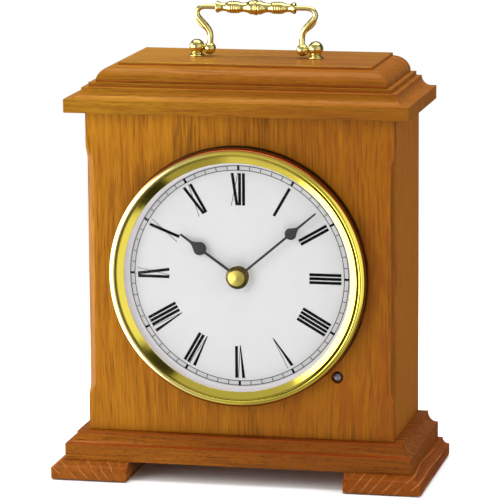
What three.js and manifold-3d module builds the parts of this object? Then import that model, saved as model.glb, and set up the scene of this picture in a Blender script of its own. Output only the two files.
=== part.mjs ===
// Mantel clock: an oak case on two rail feet, a brass bail handle, a dial behind a brass bezel and a
// battery movement that also plays melodies. Millimetres. +Z is up, +X is to the right of someone who
// faces the dial, and the dial faces -Y. The origin lies under the middle of the clock, on the table.
import * as THREE from "three";
import { mergeVertices } from "three/addons/utils/BufferGeometryUtils.js";
import Module from "manifold-3d";

const wasm = await Module();
wasm.setup();

// ---------------------------------------------------------------- driving dimensions

// Clearances
const GLUE_LINE = 0.1; // between glued wooden faces
const SEAT_GAP = 0.3; // between pieces that rest on, clip to or are screwed to each other
const RUNNING_GAP = 0.08; // radial, a shaft in its bearing
const SLIDE_GAP = 0.4; // round a button, a slider or a door in its opening

// Round shapes
const RIM_SEGMENTS = 40; // bezel, glass, dial
const TURNED_SEGMENTS = 16; // handle, knobs, speaker
const PIN_SEGMENTS = 12; // shafts, pins and small holes
const PIPE_SEGMENTS = 24; // the hour pipe and its bearing, which run closest
const MERGE_TOLERANCE = 1e-4;

// Case
const CASE_WIDTH = 197;
const CASE_DEPTH = 91.3;
const CASE_HEIGHT = 205;
const FRONT_THICKNESS = 12;
const SIDE_THICKNESS = 10;
const BACK_THICKNESS = 5;
const BACK_RECESS = 6.6; // the back panel lies this far inside the rear edges
const CHAMFER_DEPTH = 3.2; // from the corner, square to the chamfer
const CHAMFER_MARGIN = 20.5; // plain corner left above and below the chamfer
const CHAMFER_RUNOUT = 12; // length of the curved end

// Boards above and below the case, and the feet
const PAD_THICKNESS = 0.8;
const PAD_RADIUS = 8;
const FOOT_THICKNESS = 11.2;
const FOOT_PROJECTION = 20.6; // beyond the case, at the front and at the sides
const FOOT_WIDTH = 49.3;
const BASE_THICKNESS = 17.2;
const BASE_PROJECTION = 13.1;
const CORNICE_THICKNESS = 17.6;
const CORNICE_PROJECTION = 11.3;
const CAP_THICKNESS = 11.4;
const CAP_SETBACK = 5.4; // the cap's lower edge lies inside the case's outline
const CAP_FLAT_SETBACK = 17; // and so does the edge of its flat top

// Dial, bezel and glass; radii, and distances in front of the case's front face
const BEZEL_SHARE = 0.8345; // the bezel's share of the case's width
const DIAL_INSET = 6; // from the bezel's outside to the dial's edge
const SIGHT_INSET = 9.4; // and to the edge of what shows of the dial
const DIAL_THICKNESS = 0.8;
const DIAL_RISE = 0.3; // the dial's centre lies this far above the middle of the case
const BEZEL_WALL = 0.9;
const BEZEL_HEIGHT = 10.4;
const BEAD_WIDTH = 4.1; // the rounded front lip, measured along a radius
const RING_HEIGHT = 8.9; // outer edge of the polished ring inside the bezel
const SIGHT_HEIGHT = 7.5; // and its inner edge
const SHEET = 0.6; // the ring's thickness
const GLASS_THICKNESS = 1.8;
const GLASS_RISE = 5; // how far the middle of the domed glass stands forward of its edge

// Insert that carries the dial
const INSERT_WALL = 1;
const INSERT_FLOOR = 2;
const INSERT_FLANGE = 1.6;
const CLAMP_THICKNESS = 2;
const CLAMP_WIDTH = 6;

// Light sensor
const SENSOR_GAP = 6.3; // from the bezel to the sensor's centre, down the diagonal
const SENSOR_RADIUS = 2.6;
const SENSOR_RECESS_RADIUS = 3.9;
const SENSOR_RECESS_DEPTH = 3;
const SENSOR_PROUD = 0.6;
const SENSOR_LENGTH = 10;

// Hands, from the centre of the dial
const MINUTE_ANGLE = 49.9; // degrees clockwise from twelve
const HOUR_ANGLE = 305.3;
const MINUTE_REACH = 65.5;
const HOUR_REACH = 45.3;
const MINUTE_SHAPE = { spade: 0.6815, radius: 0.0578, shoulder: 0.779, stem: 0.0115 }; // shares of the reach
const HOUR_SHAPE = { spade: 0.663, radius: 0.096, shoulder: 0.83, stem: 0.0187 };
const HAND_THICKNESS = 0.5;
const HOUR_HAND_HEIGHT = 3.2; // above the dial
const MINUTE_HAND_HEIGHT = 4.6;
const HAND_HUB_RADIUS = 4.6;
const CAP_REAR_RADIUS = 7.3;
const CAP_FRONT_RADIUS = 4.9;
const CAP_HEIGHT = 3.4;
const CAP_DIMPLE = 1.5;

// Movement
const MOVEMENT_HALF_WIDTH = 44;
const MOVEMENT_BOTTOM = 50; // below the dial's centre
const MOVEMENT_TOP = 36; // above it
const MOVEMENT_DEPTH = 28.3;
const MOVEMENT_WALL = 2;
const BUSHING_RADIUS = 3.9;
const BUSHING_HEIGHT = 2.9; // in front of the dial
const MINUTE_ARBOR_RADIUS = 1.4;
const HOUR_PIPE_WALL = 1.2;
const NUT_RADIUS = 6.3;
const NUT_FLANGE_RADIUS = 8;
const NUT_FLANGE_THICKNESS = 0.6;
const NUT_THICKNESS = 1.9;
const SMALL_ARBOR_RADIUS = 0.7;
const WHEEL_THICKNESS = 1.2;
const LEVEL_STEP = 0.7; // free space between wheels on neighbouring levels
const GEAR_PLATE_THICKNESS = 1.5;
const MESH_SLACK = 0.1; // added to the distance between meshing arbors

// Gears: tooth modules, teeth, and the direction from the first arbor to the second
const CENTRE_MODULE = 0.52;
const ROTOR_MODULE = 0.5;
const MOTION_MODULE = 0.7;
const HOUR_MODULE = 0.56;
const CENTRE_TRAIN = { wheel: 36, pinion: 6, module: CENTRE_MODULE, direction: 60 };
const ROTOR_TRAIN = { wheel: 30, pinion: 6, module: ROTOR_MODULE, direction: 110 };
const MINUTE_TO_MOTION = { wheel: 24, pinion: 8, module: MOTION_MODULE, direction: 225 };
const MOTION_TO_HOUR = { wheel: 32, pinion: 8, module: HOUR_MODULE };
const PLATE_MARGIN = 6; // of the gear plate beyond the stator and the lowest arbor
const PILLAR_RADIUS = 1.6;
const PILLAR_INSET = 2.1;

// Stepping motor
const MAGNET_RADIUS = 3;
const MAGNET_THICKNESS = 3;
const STATOR_THICKNESS = 1.4;
const STATOR_HOLE_GAP = 0.7;
const STATOR_REACH = 17; // from the rotor to the outside of each leg
const STATOR_LEG = 4;
const CORE_RADIUS = 1.4;
const CORE_RISE = 10.6; // from the rotor up to the coil's core
const COIL_RADIUS = 3.6;

// Circuit board
const BOARD_THICKNESS = 1.4;
const BOARD_STANDOFF = 1.6;
const BOARD_HEIGHT = 27;
const BOARD_MARGIN = 2; // inside the movement's walls
const CHIP_SIZE = 9;

// Battery bay, two AA cells side by side
const CELL_RADIUS = 7.05;
const CELL_LENGTH = 48;
const CELL_NUB_RADIUS = 2.6;
const CELL_NUB_LENGTH = 1.4;
const CELL_PITCH = 15.2;
const BAY_WALL = 1.2;
const CONTACT_ROOM = 3.8; // at each end of the cells
const BAY_DEPTH = 16.4;
const CONTACT_THICKNESS = 0.5;
const LID_THICKNESS = 1.6;
const LID_OVERLAP = 1.2;

// Controls on the back of the movement
const KNOB_RADIUS = 6;
const KNOB_HEIGHT = 5;
const CONTROL_COLUMN = 32.5; // to the right of the centre
const VOLUME_Z = -6;
const SWITCH_Z = 12;
const BUTTON_Z = 26;
const CONTROL_SHAFT_RADIUS = 1.6;
const CONTROL_SHAFT_LENGTH = 5;
const SWITCH_WIDTH = 5;
const SWITCH_TALL = 3;
const SWITCH_TRAVEL = 4; // each way
const BUTTON_RADIUS = 3;
const CONTROL_PROUD = 2.4;

// Speaker
const SPEAKER_RADIUS = 28.5;
const SPEAKER_Z = 68; // above the dial's centre
const SPEAKER_DEPTH = 13;
const MAGNET_CAN_RADIUS = 15;
const MAGNET_CAN_DEPTH = 8;
const SPEAKER_SHELL = 1.4;
const SLOT_WIDTH = 3;
const SLOT_PITCH = 7;
const SLOT_COUNT = 7;

// Back panel and its door
const DOOR_STILE = 27.5; // from the door to the side boards
const DOOR_HEIGHT = 98;
const DOOR_Z = -13; // middle of the door, from the dial's centre
const HINGE_LENGTH = 50;
const HINGE_LEAF_WIDTH = 12;
const HINGE_LEAF_THICKNESS = 0.8;
const HINGE_BARREL_RADIUS = 2;
const HINGE_PIN_RADIUS = 0.9;
const DOOR_KNOB_RADIUS = 5;
const DOOR_KNOB_INSET = 11;

// Bail handle
const POST_SPACING = 77;
const POST_BALL_RADIUS = 4.6;
const POST_FLANGE_RADIUS = 4.2;
const POST_FLANGE_THICKNESS = 1.2;
const POST_NECK_RADIUS = 2.6;
const PIVOT_HEIGHT = 5.9; // above the cap's flat top
const STUD_RADIUS = 2;
const STUD_END = 6; // the thread that shows inside the case
const HANDLE_NUT_RADIUS = 4.2;
const HANDLE_NUT_THICKNESS = 3.2;
const BAIL_BALL_RADIUS = 3.7;
const BAIL_PIN_RADIUS = 1.2;
const BAIL_PIN_LENGTH = 3;
const BAIL_ROD_RADIUS = 1.6;
const GRIP_HEIGHT = 25.7; // from the pivots to the grip's axis
const GRIP_HALF_LENGTH = 27;
const GRIP_RADIUS = 5.2; // of the disc in its middle
const ROD_TENON = 5; // the rod's end inside the grip

// Internal leads
const LEAD_RADIUS = 1.1;
const LEAD_SIDES = 8;

// ---------------------------------------------------------------- places worked out from them

const HALF_WIDTH = CASE_WIDTH / 2;
const DOOR_WIDTH = CASE_WIDTH - 2 * (SIDE_THICKNESS + DOOR_STILE);
const BACK = (CASE_DEPTH + FOOT_PROJECTION) / 2; // rear edges of the case, boards and feet
const FRONT = BACK - CASE_DEPTH; // front face of the case

const FOOT_BOTTOM = PAD_THICKNESS + GLUE_LINE;
const BASE_BOTTOM = FOOT_BOTTOM + FOOT_THICKNESS + GLUE_LINE;
const CASE_BOTTOM = BASE_BOTTOM + BASE_THICKNESS + GLUE_LINE;
const CASE_TOP = CASE_BOTTOM + CASE_HEIGHT;
const CORNICE_BOTTOM = CASE_TOP + GLUE_LINE;
const CAP_BOTTOM = CORNICE_BOTTOM + CORNICE_THICKNESS + GLUE_LINE;
const CAP_TOP = CAP_BOTTOM + CAP_THICKNESS;

const DIAL_Z = (CASE_BOTTOM + CASE_TOP) / 2 + DIAL_RISE;
const BACK_PANEL_Y = BACK - BACK_RECESS; // rear face of the back panel
const PIVOT_Z = CAP_TOP + PIVOT_HEIGHT;
const HANDLE_Y = (FRONT + CAP_FLAT_SETBACK + BACK) / 2;

const BEZEL_RADIUS = BEZEL_SHARE * HALF_WIDTH;
const DIAL_RADIUS = BEZEL_RADIUS - DIAL_INSET;
const SIGHT_RADIUS = BEZEL_RADIUS - SIGHT_INSET;
const SENSOR_OFFSET = (BEZEL_RADIUS + SENSOR_GAP) * Math.SQRT1_2; // to the right and down from the centre
const INSERT_RADIUS = DIAL_RADIUS + SEAT_GAP + INSERT_WALL;
const DIAL_HOLE_RADIUS = INSERT_RADIUS + SEAT_GAP;
const INSERT_FLOOR_Y = FRONT + DIAL_THICKNESS + SEAT_GAP;
const MOVEMENT_Y = INSERT_FLOOR_Y + INSERT_FLOOR + SEAT_GAP; // front face of the movement
const MOVEMENT_BACK = MOVEMENT_Y + MOVEMENT_DEPTH;
const BAY_LENGTH = CELL_LENGTH + CELL_NUB_LENGTH + 2 * CONTACT_ROOM;
const GLASS_EDGE_RADIUS = BEZEL_RADIUS - BEZEL_WALL - SEAT_GAP;
const LIP_UNDERSIDE = SIGHT_HEIGHT - SHEET; // of the bezel's lip and of the ring
const GLASS_FRONT = LIP_UNDERSIDE - SEAT_GAP; // front of the glass at its edge
const GLASS_BACK = GLASS_FRONT - GLASS_THICKNESS;

// ---------------------------------------------------------------- making and joining solids

function toSolid(geometry) {
  geometry.deleteAttribute("normal");
  geometry.deleteAttribute("uv");
  const merged = mergeVertices(geometry, MERGE_TOLERANCE);
  return new wasm.Manifold(
    new wasm.Mesh({
      numProp: 3,
      vertProperties: merged.attributes.position.array,
      triVerts: new Uint32Array(merged.index.array),
    }),
  );
}

function toGeometry(solid) {
  const mesh = solid.getMesh();
  const geometry = new THREE.BufferGeometry();
  geometry.setAttribute("position", new THREE.BufferAttribute(mesh.vertProperties, 3));
  geometry.setIndex(new THREE.BufferAttribute(mesh.triVerts, 1));
  geometry.computeVertexNormals();
  return geometry;
}

const union = (...solids) => solids.reduce((whole, piece) => whole.add(piece));
const cut = (solid, ...tools) => tools.reduce((left, tool) => left.subtract(tool), solid);

// A box from three ranges.
function block([x0, x1], [y0, y1], [z0, z1]) {
  const geometry = new THREE.BoxGeometry(x1 - x0, y1 - y0, z1 - z0);
  geometry.translate((x0 + x1) / 2, (y0 + y1) / 2, (z0 + z1) / 2);
  return toSolid(geometry);
}

// Profiles for turned(): pairs of radius and place along the axis.
const rod = (radius, from, to) => [[0, from], [radius, from], [radius, to], [0, to]];
const tube = (inner, outer, from, to) => [[inner, from], [outer, from], [outer, to], [inner, to]];

// A profile turned about a line along x, y or z through the point at.
function turned(profile, { axis = "y", at = [0, 0, 0], segments = PIN_SEGMENTS } = {}) {
  const points = profile.map(([radius, along]) => new THREE.Vector2(radius, along));
  if (THREE.ShapeUtils.isClockWise(points)) points.reverse();
  if (points[0].x > 0) points.push(points[0].clone());
  const geometry = new THREE.LatheGeometry(points, segments);
  if (axis === "x") geometry.rotateZ(-Math.PI / 2);
  if (axis === "z") geometry.rotateX(Math.PI / 2);
  geometry.translate(...at);
  return toSolid(geometry);
}

// An outline carried straight along x, y or z. Its own two directions are the other two axes, in order.
function extruded(outline, axis, [from, to], curveSegments = 8) {
  const shape = Array.isArray(outline)
    ? new THREE.Shape(outline.map((p) => new THREE.Vector2(...p)))
    : outline;
  const geometry = new THREE.ExtrudeGeometry(shape, { depth: to - from, bevelEnabled: false, curveSegments });
  const [x, y, z] = [new THREE.Vector3(1, 0, 0), new THREE.Vector3(0, 1, 0), new THREE.Vector3(0, 0, 1)];
  const turn = new THREE.Matrix4();
  if (axis === "x") turn.makeBasis(y, z, x).setPosition(from, 0, 0);
  if (axis === "y") turn.makeBasis(x, z, y.negate()).setPosition(0, to, 0);
  if (axis === "z") turn.setPosition(0, 0, from);
  geometry.applyMatrix4(turn);
  return toSolid(geometry);
}

// Points of a quarter of an ellipse about (cx, cy), from angle a to angle b in degrees.
function quarter(cx, cy, rx, ry, a, b, steps = 5) {
  return Array.from({ length: steps + 1 }, (_, i) => {
    const angle = THREE.MathUtils.degToRad(a + ((b - a) * i) / steps);
    return [cx + rx * Math.cos(angle), cy + ry * Math.sin(angle)];
  });
}

const polar = (radius, degrees) => [
  radius * Math.cos(THREE.MathUtils.degToRad(degrees)),
  radius * Math.sin(THREE.MathUtils.degToRad(degrees)),
];

// ---------------------------------------------------------------- materials

const material = (color, roughness, metalness = 0, extra = {}) =>
  new THREE.MeshStandardMaterial({ color, roughness, metalness, ...extra });
const OAK = () => material(0xb07624, 0.45);
const OAK_DARK = () => material(0x9b5819, 0.45);
const BRASS = () => material(0xd9b04a, 0.15, 1);
const STEEL = () => material(0xb8bcc0, 0.3, 1);
const BLACK = () => material(0x202020, 0.5);
const WHITE = () => material(0xececee, 0.6);

const clock = new THREE.Group();

function add(name, solid, finish) {
  const mesh = new THREE.Mesh(toGeometry(solid), finish);
  mesh.name = name;
  clock.add(mesh);
}

// ---------------------------------------------------------------- case

// A board whose moulding runs round the front and both sides and stops flush at the back. The
// profile's pairs are the distance beyond the case and the height above the board's underside.
function mouldedBoard(profile, bottom) {
  const along = profile.map(([out, up]) => [FRONT - out, bottom + up]);
  const right = profile.map(([out, up]) => [HALF_WIDTH + out, bottom + up]);
  const left = right.map(([x, z]) => [-x, z]).reverse();
  const top = along.at(-1)[1];
  const frontToBack = extruded([...along, [BACK, top], [BACK, bottom]], "x", [-CASE_WIDTH, CASE_WIDTH]);
  return frontToBack.intersect(extruded([...right, ...left], "y", [-CASE_WIDTH, BACK]));
}

function baseProfile() {
  const [lip, face, fillet] = [0.8, 10.2, 6.6];
  const cove = quarter(BASE_PROJECTION - lip, BASE_THICKNESS - 0.7, BASE_PROJECTION - lip - fillet,
    BASE_THICKNESS - 0.7 - face, 270, 180);
  return [[BASE_PROJECTION, 0], [BASE_PROJECTION, face], ...cove, [fillet, BASE_THICKNESS]];
}

function corniceProfile() {
  const [face, shelf, coveTop, coveEnd, setback] = [8.7, 3.5, 15.1, 1.8, 1.7];
  const cove = quarter(CORNICE_PROJECTION - shelf, coveTop, CORNICE_PROJECTION - shelf - coveEnd,
    coveTop - face, 270, 180);
  return [[CORNICE_PROJECTION, 0], [CORNICE_PROJECTION, face], ...cove, [-setback, coveTop],
    [-setback, CORNICE_THICKNESS]];
}

function capProfile() {
  const round = 9.6;
  const ovolo = quarter(-CAP_FLAT_SETBACK, 0, CAP_FLAT_SETBACK - CAP_SETBACK, round, 0, 84, 6);
  return [...ovolo, [-CAP_FLAT_SETBACK, round], [-CAP_FLAT_SETBACK, CAP_THICKNESS]];
}

function footProfile() {
  const [face, lip, top] = [7.3, 0.8, 16.2];
  const cove = quarter(FOOT_PROJECTION - lip, FOOT_THICKNESS, FOOT_PROJECTION - lip - top,
    FOOT_THICKNESS - face, 270, 180, 4);
  return [[FOOT_PROJECTION, 0], [FOOT_PROJECTION, face], ...cove];
}

const studHole = (side, from, to) =>
  turned(rod(STUD_RADIUS + SEAT_GAP, from, to),
    { axis: "z", at: [side * POST_SPACING / 2, HANDLE_Y, 0] });

function drilledForHandle(board, from, to) {
  return cut(board, studHole(-1, from - 1, to + 1), studHole(1, from - 1, to + 1));
}

// One foot: the left or right end of a moulded board, cut off square.
function foot(side) {
  const outer = HALF_WIDTH + FOOT_PROJECTION;
  const keep = [side * (outer - FOOT_WIDTH), side * (outer + 1)].sort((a, b) => a - b);
  return mouldedBoard(footProfile(), FOOT_BOTTOM)
    .intersect(block(keep, [-CASE_WIDTH, BACK], [0, FOOT_BOTTOM + FOOT_THICKNESS]));
}

// Cutter for a corner chamfer whose two ends curve out of the wood.
function chamferCutter(side) {
  const [z0, z1] = [CASE_BOTTOM + CHAMFER_MARGIN, CASE_TOP - CHAMFER_MARGIN];
  const [outside, runout] = [-4, CHAMFER_RUNOUT];
  const shape = new THREE.Shape();
  shape.moveTo(outside, z0);
  shape.lineTo(0, z0);
  shape.bezierCurveTo(CHAMFER_DEPTH * 0.1, z0 + runout * 0.5, CHAMFER_DEPTH, z0 + runout * 0.4,
    CHAMFER_DEPTH, z0 + runout);
  shape.lineTo(CHAMFER_DEPTH, z1 - runout);
  shape.bezierCurveTo(CHAMFER_DEPTH, z1 - runout * 0.4, CHAMFER_DEPTH * 0.1, z1 - runout * 0.5, 0, z1);
  shape.lineTo(outside, z1);
  const width = 4 * CHAMFER_DEPTH;
  const geometry = new THREE.ExtrudeGeometry(shape, { depth: width, bevelEnabled: false, curveSegments: 6 });
  geometry.translate(0, 0, -width / 2);
  const inward = new THREE.Vector3(-side, 1, 0).normalize();
  const across = new THREE.Vector3(1, side, 0).normalize();
  const placed = new THREE.Matrix4().makeBasis(inward, new THREE.Vector3(0, 0, 1), across);
  geometry.applyMatrix4(placed.setPosition(side * HALF_WIDTH, FRONT, 0));
  return toSolid(geometry);
}

function frontPanel() {
  const back = FRONT + FRONT_THICKNESS;
  const sensorAt = [SENSOR_OFFSET, 0, DIAL_Z - SENSOR_OFFSET];
  return cut(
    block([-HALF_WIDTH, HALF_WIDTH], [FRONT, back], [CASE_BOTTOM, CASE_TOP]),
    turned(rod(DIAL_HOLE_RADIUS, FRONT - 1, back + 1), { at: [0, 0, DIAL_Z], segments: RIM_SEGMENTS }),
    turned(rod(SENSOR_RADIUS + SEAT_GAP, FRONT - 1, back + 1), { at: sensorAt, segments: TURNED_SEGMENTS }),
    turned(rod(SENSOR_RECESS_RADIUS, FRONT - 1, FRONT + SENSOR_RECESS_DEPTH),
      { at: sensorAt, segments: TURNED_SEGMENTS }),
    chamferCutter(-1),
    chamferCutter(1),
  );
}

function sidePanel(side) {
  const x = [side * (HALF_WIDTH - SIDE_THICKNESS), side * HALF_WIDTH].sort((a, b) => a - b);
  return block(x, [FRONT + FRONT_THICKNESS + GLUE_LINE, BACK], [CASE_BOTTOM, CASE_TOP]);
}

function feltPad(side, end) {
  const x = side * (HALF_WIDTH + FOOT_PROJECTION - FOOT_WIDTH / 2);
  const inset = 2 * PAD_RADIUS;
  const y = end < 0 ? FRONT - FOOT_PROJECTION + inset : BACK - inset;
  return turned(rod(PAD_RADIUS, 0, PAD_THICKNESS), { axis: "z", at: [x, y, 0] });
}

add("front_panel", frontPanel(), OAK());
add("side_panel_left", sidePanel(-1), OAK());
add("side_panel_right", sidePanel(1), OAK());
add("base_board", mouldedBoard(baseProfile(), BASE_BOTTOM), OAK_DARK());
add("cornice_board", drilledForHandle(mouldedBoard(corniceProfile(), CORNICE_BOTTOM), CASE_TOP, CAP_BOTTOM),
  OAK_DARK());
add("top_cap", drilledForHandle(mouldedBoard(capProfile(), CAP_BOTTOM), CAP_BOTTOM, CAP_TOP), OAK());
add("foot_left", foot(-1), OAK_DARK());
add("foot_right", foot(1), OAK_DARK());
for (const [side, hand] of [[-1, "left"], [1, "right"]]) {
  add(`felt_pad_front_${hand}`, feltPad(side, -1), material(0x1f3d2b, 0.95));
  add(`felt_pad_rear_${hand}`, feltPad(side, 1), material(0x1f3d2b, 0.95));
}

// ---------------------------------------------------------------- back panel and door

const PANEL_INNER_Y = BACK_PANEL_Y - BACK_THICKNESS;
const DOOR_CENTRE_Z = DIAL_Z + DOOR_Z;
const HINGE_X = -DOOR_WIDTH / 2;
const HINGE_Y = BACK_PANEL_Y + SEAT_GAP + HINGE_BARREL_RADIUS;

function soundSlots() {
  const middle = (SLOT_COUNT - 1) / 2;
  return Array.from({ length: SLOT_COUNT }, (_, i) => {
    const x = (i - middle) * SLOT_PITCH;
    const reach = Math.sqrt((SPEAKER_RADIUS * 0.85) ** 2 - x ** 2);
    const z = DIAL_Z + SPEAKER_Z;
    return block([x - SLOT_WIDTH / 2, x + SLOT_WIDTH / 2], [PANEL_INNER_Y - 1, BACK_PANEL_Y + 1],
      [z - reach, z + reach]);
  });
}

function backPanel() {
  const halfWidth = HALF_WIDTH - SIDE_THICKNESS - SEAT_GAP;
  return cut(
    block([-halfWidth, halfWidth], [PANEL_INNER_Y, BACK_PANEL_Y],
      [CASE_BOTTOM + SEAT_GAP, CASE_TOP - SEAT_GAP]),
    block([-DOOR_WIDTH / 2, DOOR_WIDTH / 2], [PANEL_INNER_Y - 1, BACK_PANEL_Y + 1],
      [DOOR_CENTRE_Z - DOOR_HEIGHT / 2, DOOR_CENTRE_Z + DOOR_HEIGHT / 2]),
    ...soundSlots(),
  );
}

function rearDoor() {
  const [w, h] = [DOOR_WIDTH / 2 - SLIDE_GAP, DOOR_HEIGHT / 2 - SLIDE_GAP];
  return block([-w, w], [PANEL_INNER_Y, BACK_PANEL_Y], [DOOR_CENTRE_Z - h, DOOR_CENTRE_Z + h]);
}

function doorKnob() {
  const y0 = BACK_PANEL_Y + SEAT_GAP;
  const r = DOOR_KNOB_RADIUS;
  const profile = [[0, y0], [r * 0.8, y0], [r * 0.5, y0 + 2], [r, y0 + 3.6], [r * 0.9, y0 + 5.2],
    [0, y0 + 5.8]];
  const at = [DOOR_WIDTH / 2 - DOOR_KNOB_INSET, 0, DOOR_CENTRE_Z];
  return turned(profile, { at, segments: TURNED_SEGMENTS });
}

// A leaf on the left (-1) of the pin, or on the right (1), with the knuckles that it carries.
function hingeLeaf(side, knuckles) {
  const y0 = BACK_PANEL_Y + SEAT_GAP;
  const half = HINGE_LENGTH / 2;
  const x = [HINGE_X, HINGE_X + side * HINGE_LEAF_WIDTH].sort((a, b) => a - b);
  const leaf = block(x, [y0, y0 + HINGE_LEAF_THICKNESS], [DOOR_CENTRE_Z - half, DOOR_CENTRE_Z + half]);
  const clear = turned(rod(HINGE_BARREL_RADIUS + SEAT_GAP, -half - 1, half + 1),
    { axis: "z", at: [HINGE_X, HINGE_Y, DOOR_CENTRE_Z] });
  const barrels = knuckles.map(([from, to]) => turned(rod(HINGE_BARREL_RADIUS, from, to),
    { axis: "z", at: [HINGE_X, HINGE_Y, DOOR_CENTRE_Z] }));
  const strips = knuckles.map(([from, to]) => block(x, [y0, y0 + HINGE_LEAF_THICKNESS],
    [DOOR_CENTRE_Z + from, DOOR_CENTRE_Z + to]));
  const bore = turned(rod(HINGE_PIN_RADIUS + RUNNING_GAP, -half - 1, half + 1),
    { axis: "z", at: [HINGE_X, HINGE_Y, DOOR_CENTRE_Z] });
  return cut(union(cut(leaf, clear), ...strips, ...barrels), bore);
}

function hingePin() {
  const half = HINGE_LENGTH / 2;
  const head = HINGE_BARREL_RADIUS * 0.8;
  const lift = half + SEAT_GAP;
  const profile = [[0, -half], [HINGE_PIN_RADIUS, -half], [HINGE_PIN_RADIUS, lift], [head, lift],
    [head, lift + 1], [0, lift + 1]];
  return turned(profile, { axis: "z", at: [HINGE_X, HINGE_Y, DOOR_CENTRE_Z] });
}

const KNUCKLE = HINGE_LENGTH / 6; // half of the middle knuckle
add("back_panel", backPanel(), material(0x8a5f30, 0.7));
add("rear_door", rearDoor(), material(0x8a5f30, 0.7));
add("door_knob", doorKnob(), BRASS());
add("door_hinge_fixed_leaf",
  hingeLeaf(-1, [[-HINGE_LENGTH / 2, -KNUCKLE], [KNUCKLE, HINGE_LENGTH / 2]]), BRASS());
add("door_hinge_moving_leaf", hingeLeaf(1, [[-KNUCKLE + SEAT_GAP, KNUCKLE - SEAT_GAP]]), BRASS());
add("door_hinge_pin", hingePin(), BRASS());

// ---------------------------------------------------------------- bail handle

function handlePost(side) {
  const x = side * POST_SPACING / 2;
  const seat = CAP_TOP + GLUE_LINE;
  const flange = seat + POST_FLANGE_THICKNESS;
  const ballFoot = Math.sqrt(POST_BALL_RADIUS ** 2 - POST_NECK_RADIUS ** 2);
  const stud = [[0, CASE_TOP - STUD_END], [STUD_RADIUS, CASE_TOP - STUD_END], [STUD_RADIUS, seat]];
  const ball = Array.from({ length: 8 }, (_, i) => {
    const start = Math.acos(-ballFoot / POST_BALL_RADIUS);
    const angle = start * (1 - i / 7);
    return [POST_BALL_RADIUS * Math.sin(angle), PIVOT_Z + POST_BALL_RADIUS * Math.cos(angle)];
  });
  ball[7][0] = 0;
  const profile = [...stud, [POST_FLANGE_RADIUS, seat], [POST_FLANGE_RADIUS, flange], ...ball];
  const post = turned(profile, { axis: "z", at: [x, HANDLE_Y, 0], segments: TURNED_SEGMENTS });
  const depth = [-POST_BALL_RADIUS - 1, -POST_BALL_RADIUS + BAIL_PIN_LENGTH + SEAT_GAP].map((v) => side * v);
  return cut(post, turned(rod(BAIL_PIN_RADIUS + RUNNING_GAP, Math.min(...depth), Math.max(...depth)),
    { axis: "x", at: [x, HANDLE_Y, PIVOT_Z] }));
}

function handleNut(side) {
  const top = CASE_TOP - SEAT_GAP;
  const hexagon = Array.from({ length: 6 }, (_, i) => polar(HANDLE_NUT_RADIUS, 60 * i))
    .map(([x, y]) => [side * POST_SPACING / 2 + x, HANDLE_Y + y]);
  return cut(extruded(hexagon, "z", [top - HANDLE_NUT_THICKNESS, top]),
    studHole(side, top - HANDLE_NUT_THICKNESS - 1, top + 1));
}

// Half of the bail: a rod that rises from its pivot ball, sweeps outwards and bends in to the grip.
function bailRod(side) {
  const ballX = POST_SPACING / 2 - POST_BALL_RADIUS - SEAT_GAP - BAIL_BALL_RADIUS;
  const sweep = [[0, 0], [-0.01, 0.15], [-0.01, 0.3], [0.06, 0.415], [0.17, 0.53], [0.255, 0.62],
    [0.315, 0.72], [0.325, 0.79], [0.3, 0.9], [0.245, 0.973], [0.16, 1]]
    .map(([out, up]) => [out * GRIP_HEIGHT, up * GRIP_HEIGHT]);
  const inGrip = [GRIP_HALF_LENGTH, GRIP_HALF_LENGTH - ROD_TENON].map((x) => [x - ballX, GRIP_HEIGHT]);
  const points = [...sweep, ...inGrip]
    .map(([out, up]) => new THREE.Vector3(side * (ballX + out), HANDLE_Y, PIVOT_Z + up));
  const path = new THREE.CatmullRomCurve3(points, false, "centripetal");
  const section = new THREE.Shape(Array.from({ length: LEAD_SIDES }, (_, i) =>
    new THREE.Vector2(...polar(BAIL_ROD_RADIUS, (360 * (i + 0.5)) / LEAD_SIDES))));
  const bent = toSolid(new THREE.ExtrudeGeometry(section, { steps: 22, extrudePath: path }));
  const ball = new THREE.SphereGeometry(BAIL_BALL_RADIUS, TURNED_SEGMENTS, 8);
  ball.translate(side * ballX, HANDLE_Y, PIVOT_Z);
  const pinEnd = POST_SPACING / 2 - POST_BALL_RADIUS + BAIL_PIN_LENGTH;
  const pinSpan = [side * ballX, side * pinEnd].sort((a, b) => a - b);
  const pin = turned(rod(BAIL_PIN_RADIUS, ...pinSpan), { axis: "x", at: [0, HANDLE_Y, PIVOT_Z] });
  return union(bent, toSolid(ball), pin, bailSpur(side, ballX));
}

// The small pointed leaf that leaves the rod's outer side and points up and out.
function bailSpur(side, ballX) {
  const length = 8;
  const cone = new THREE.ConeGeometry(1, length, 8);
  cone.translate(0, length / 2, 0);
  cone.rotateZ(-side * THREE.MathUtils.degToRad(49));
  cone.translate(side * (ballX + 2.9), HANDLE_Y, PIVOT_Z + 10.6);
  return toSolid(cone);
}

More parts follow.
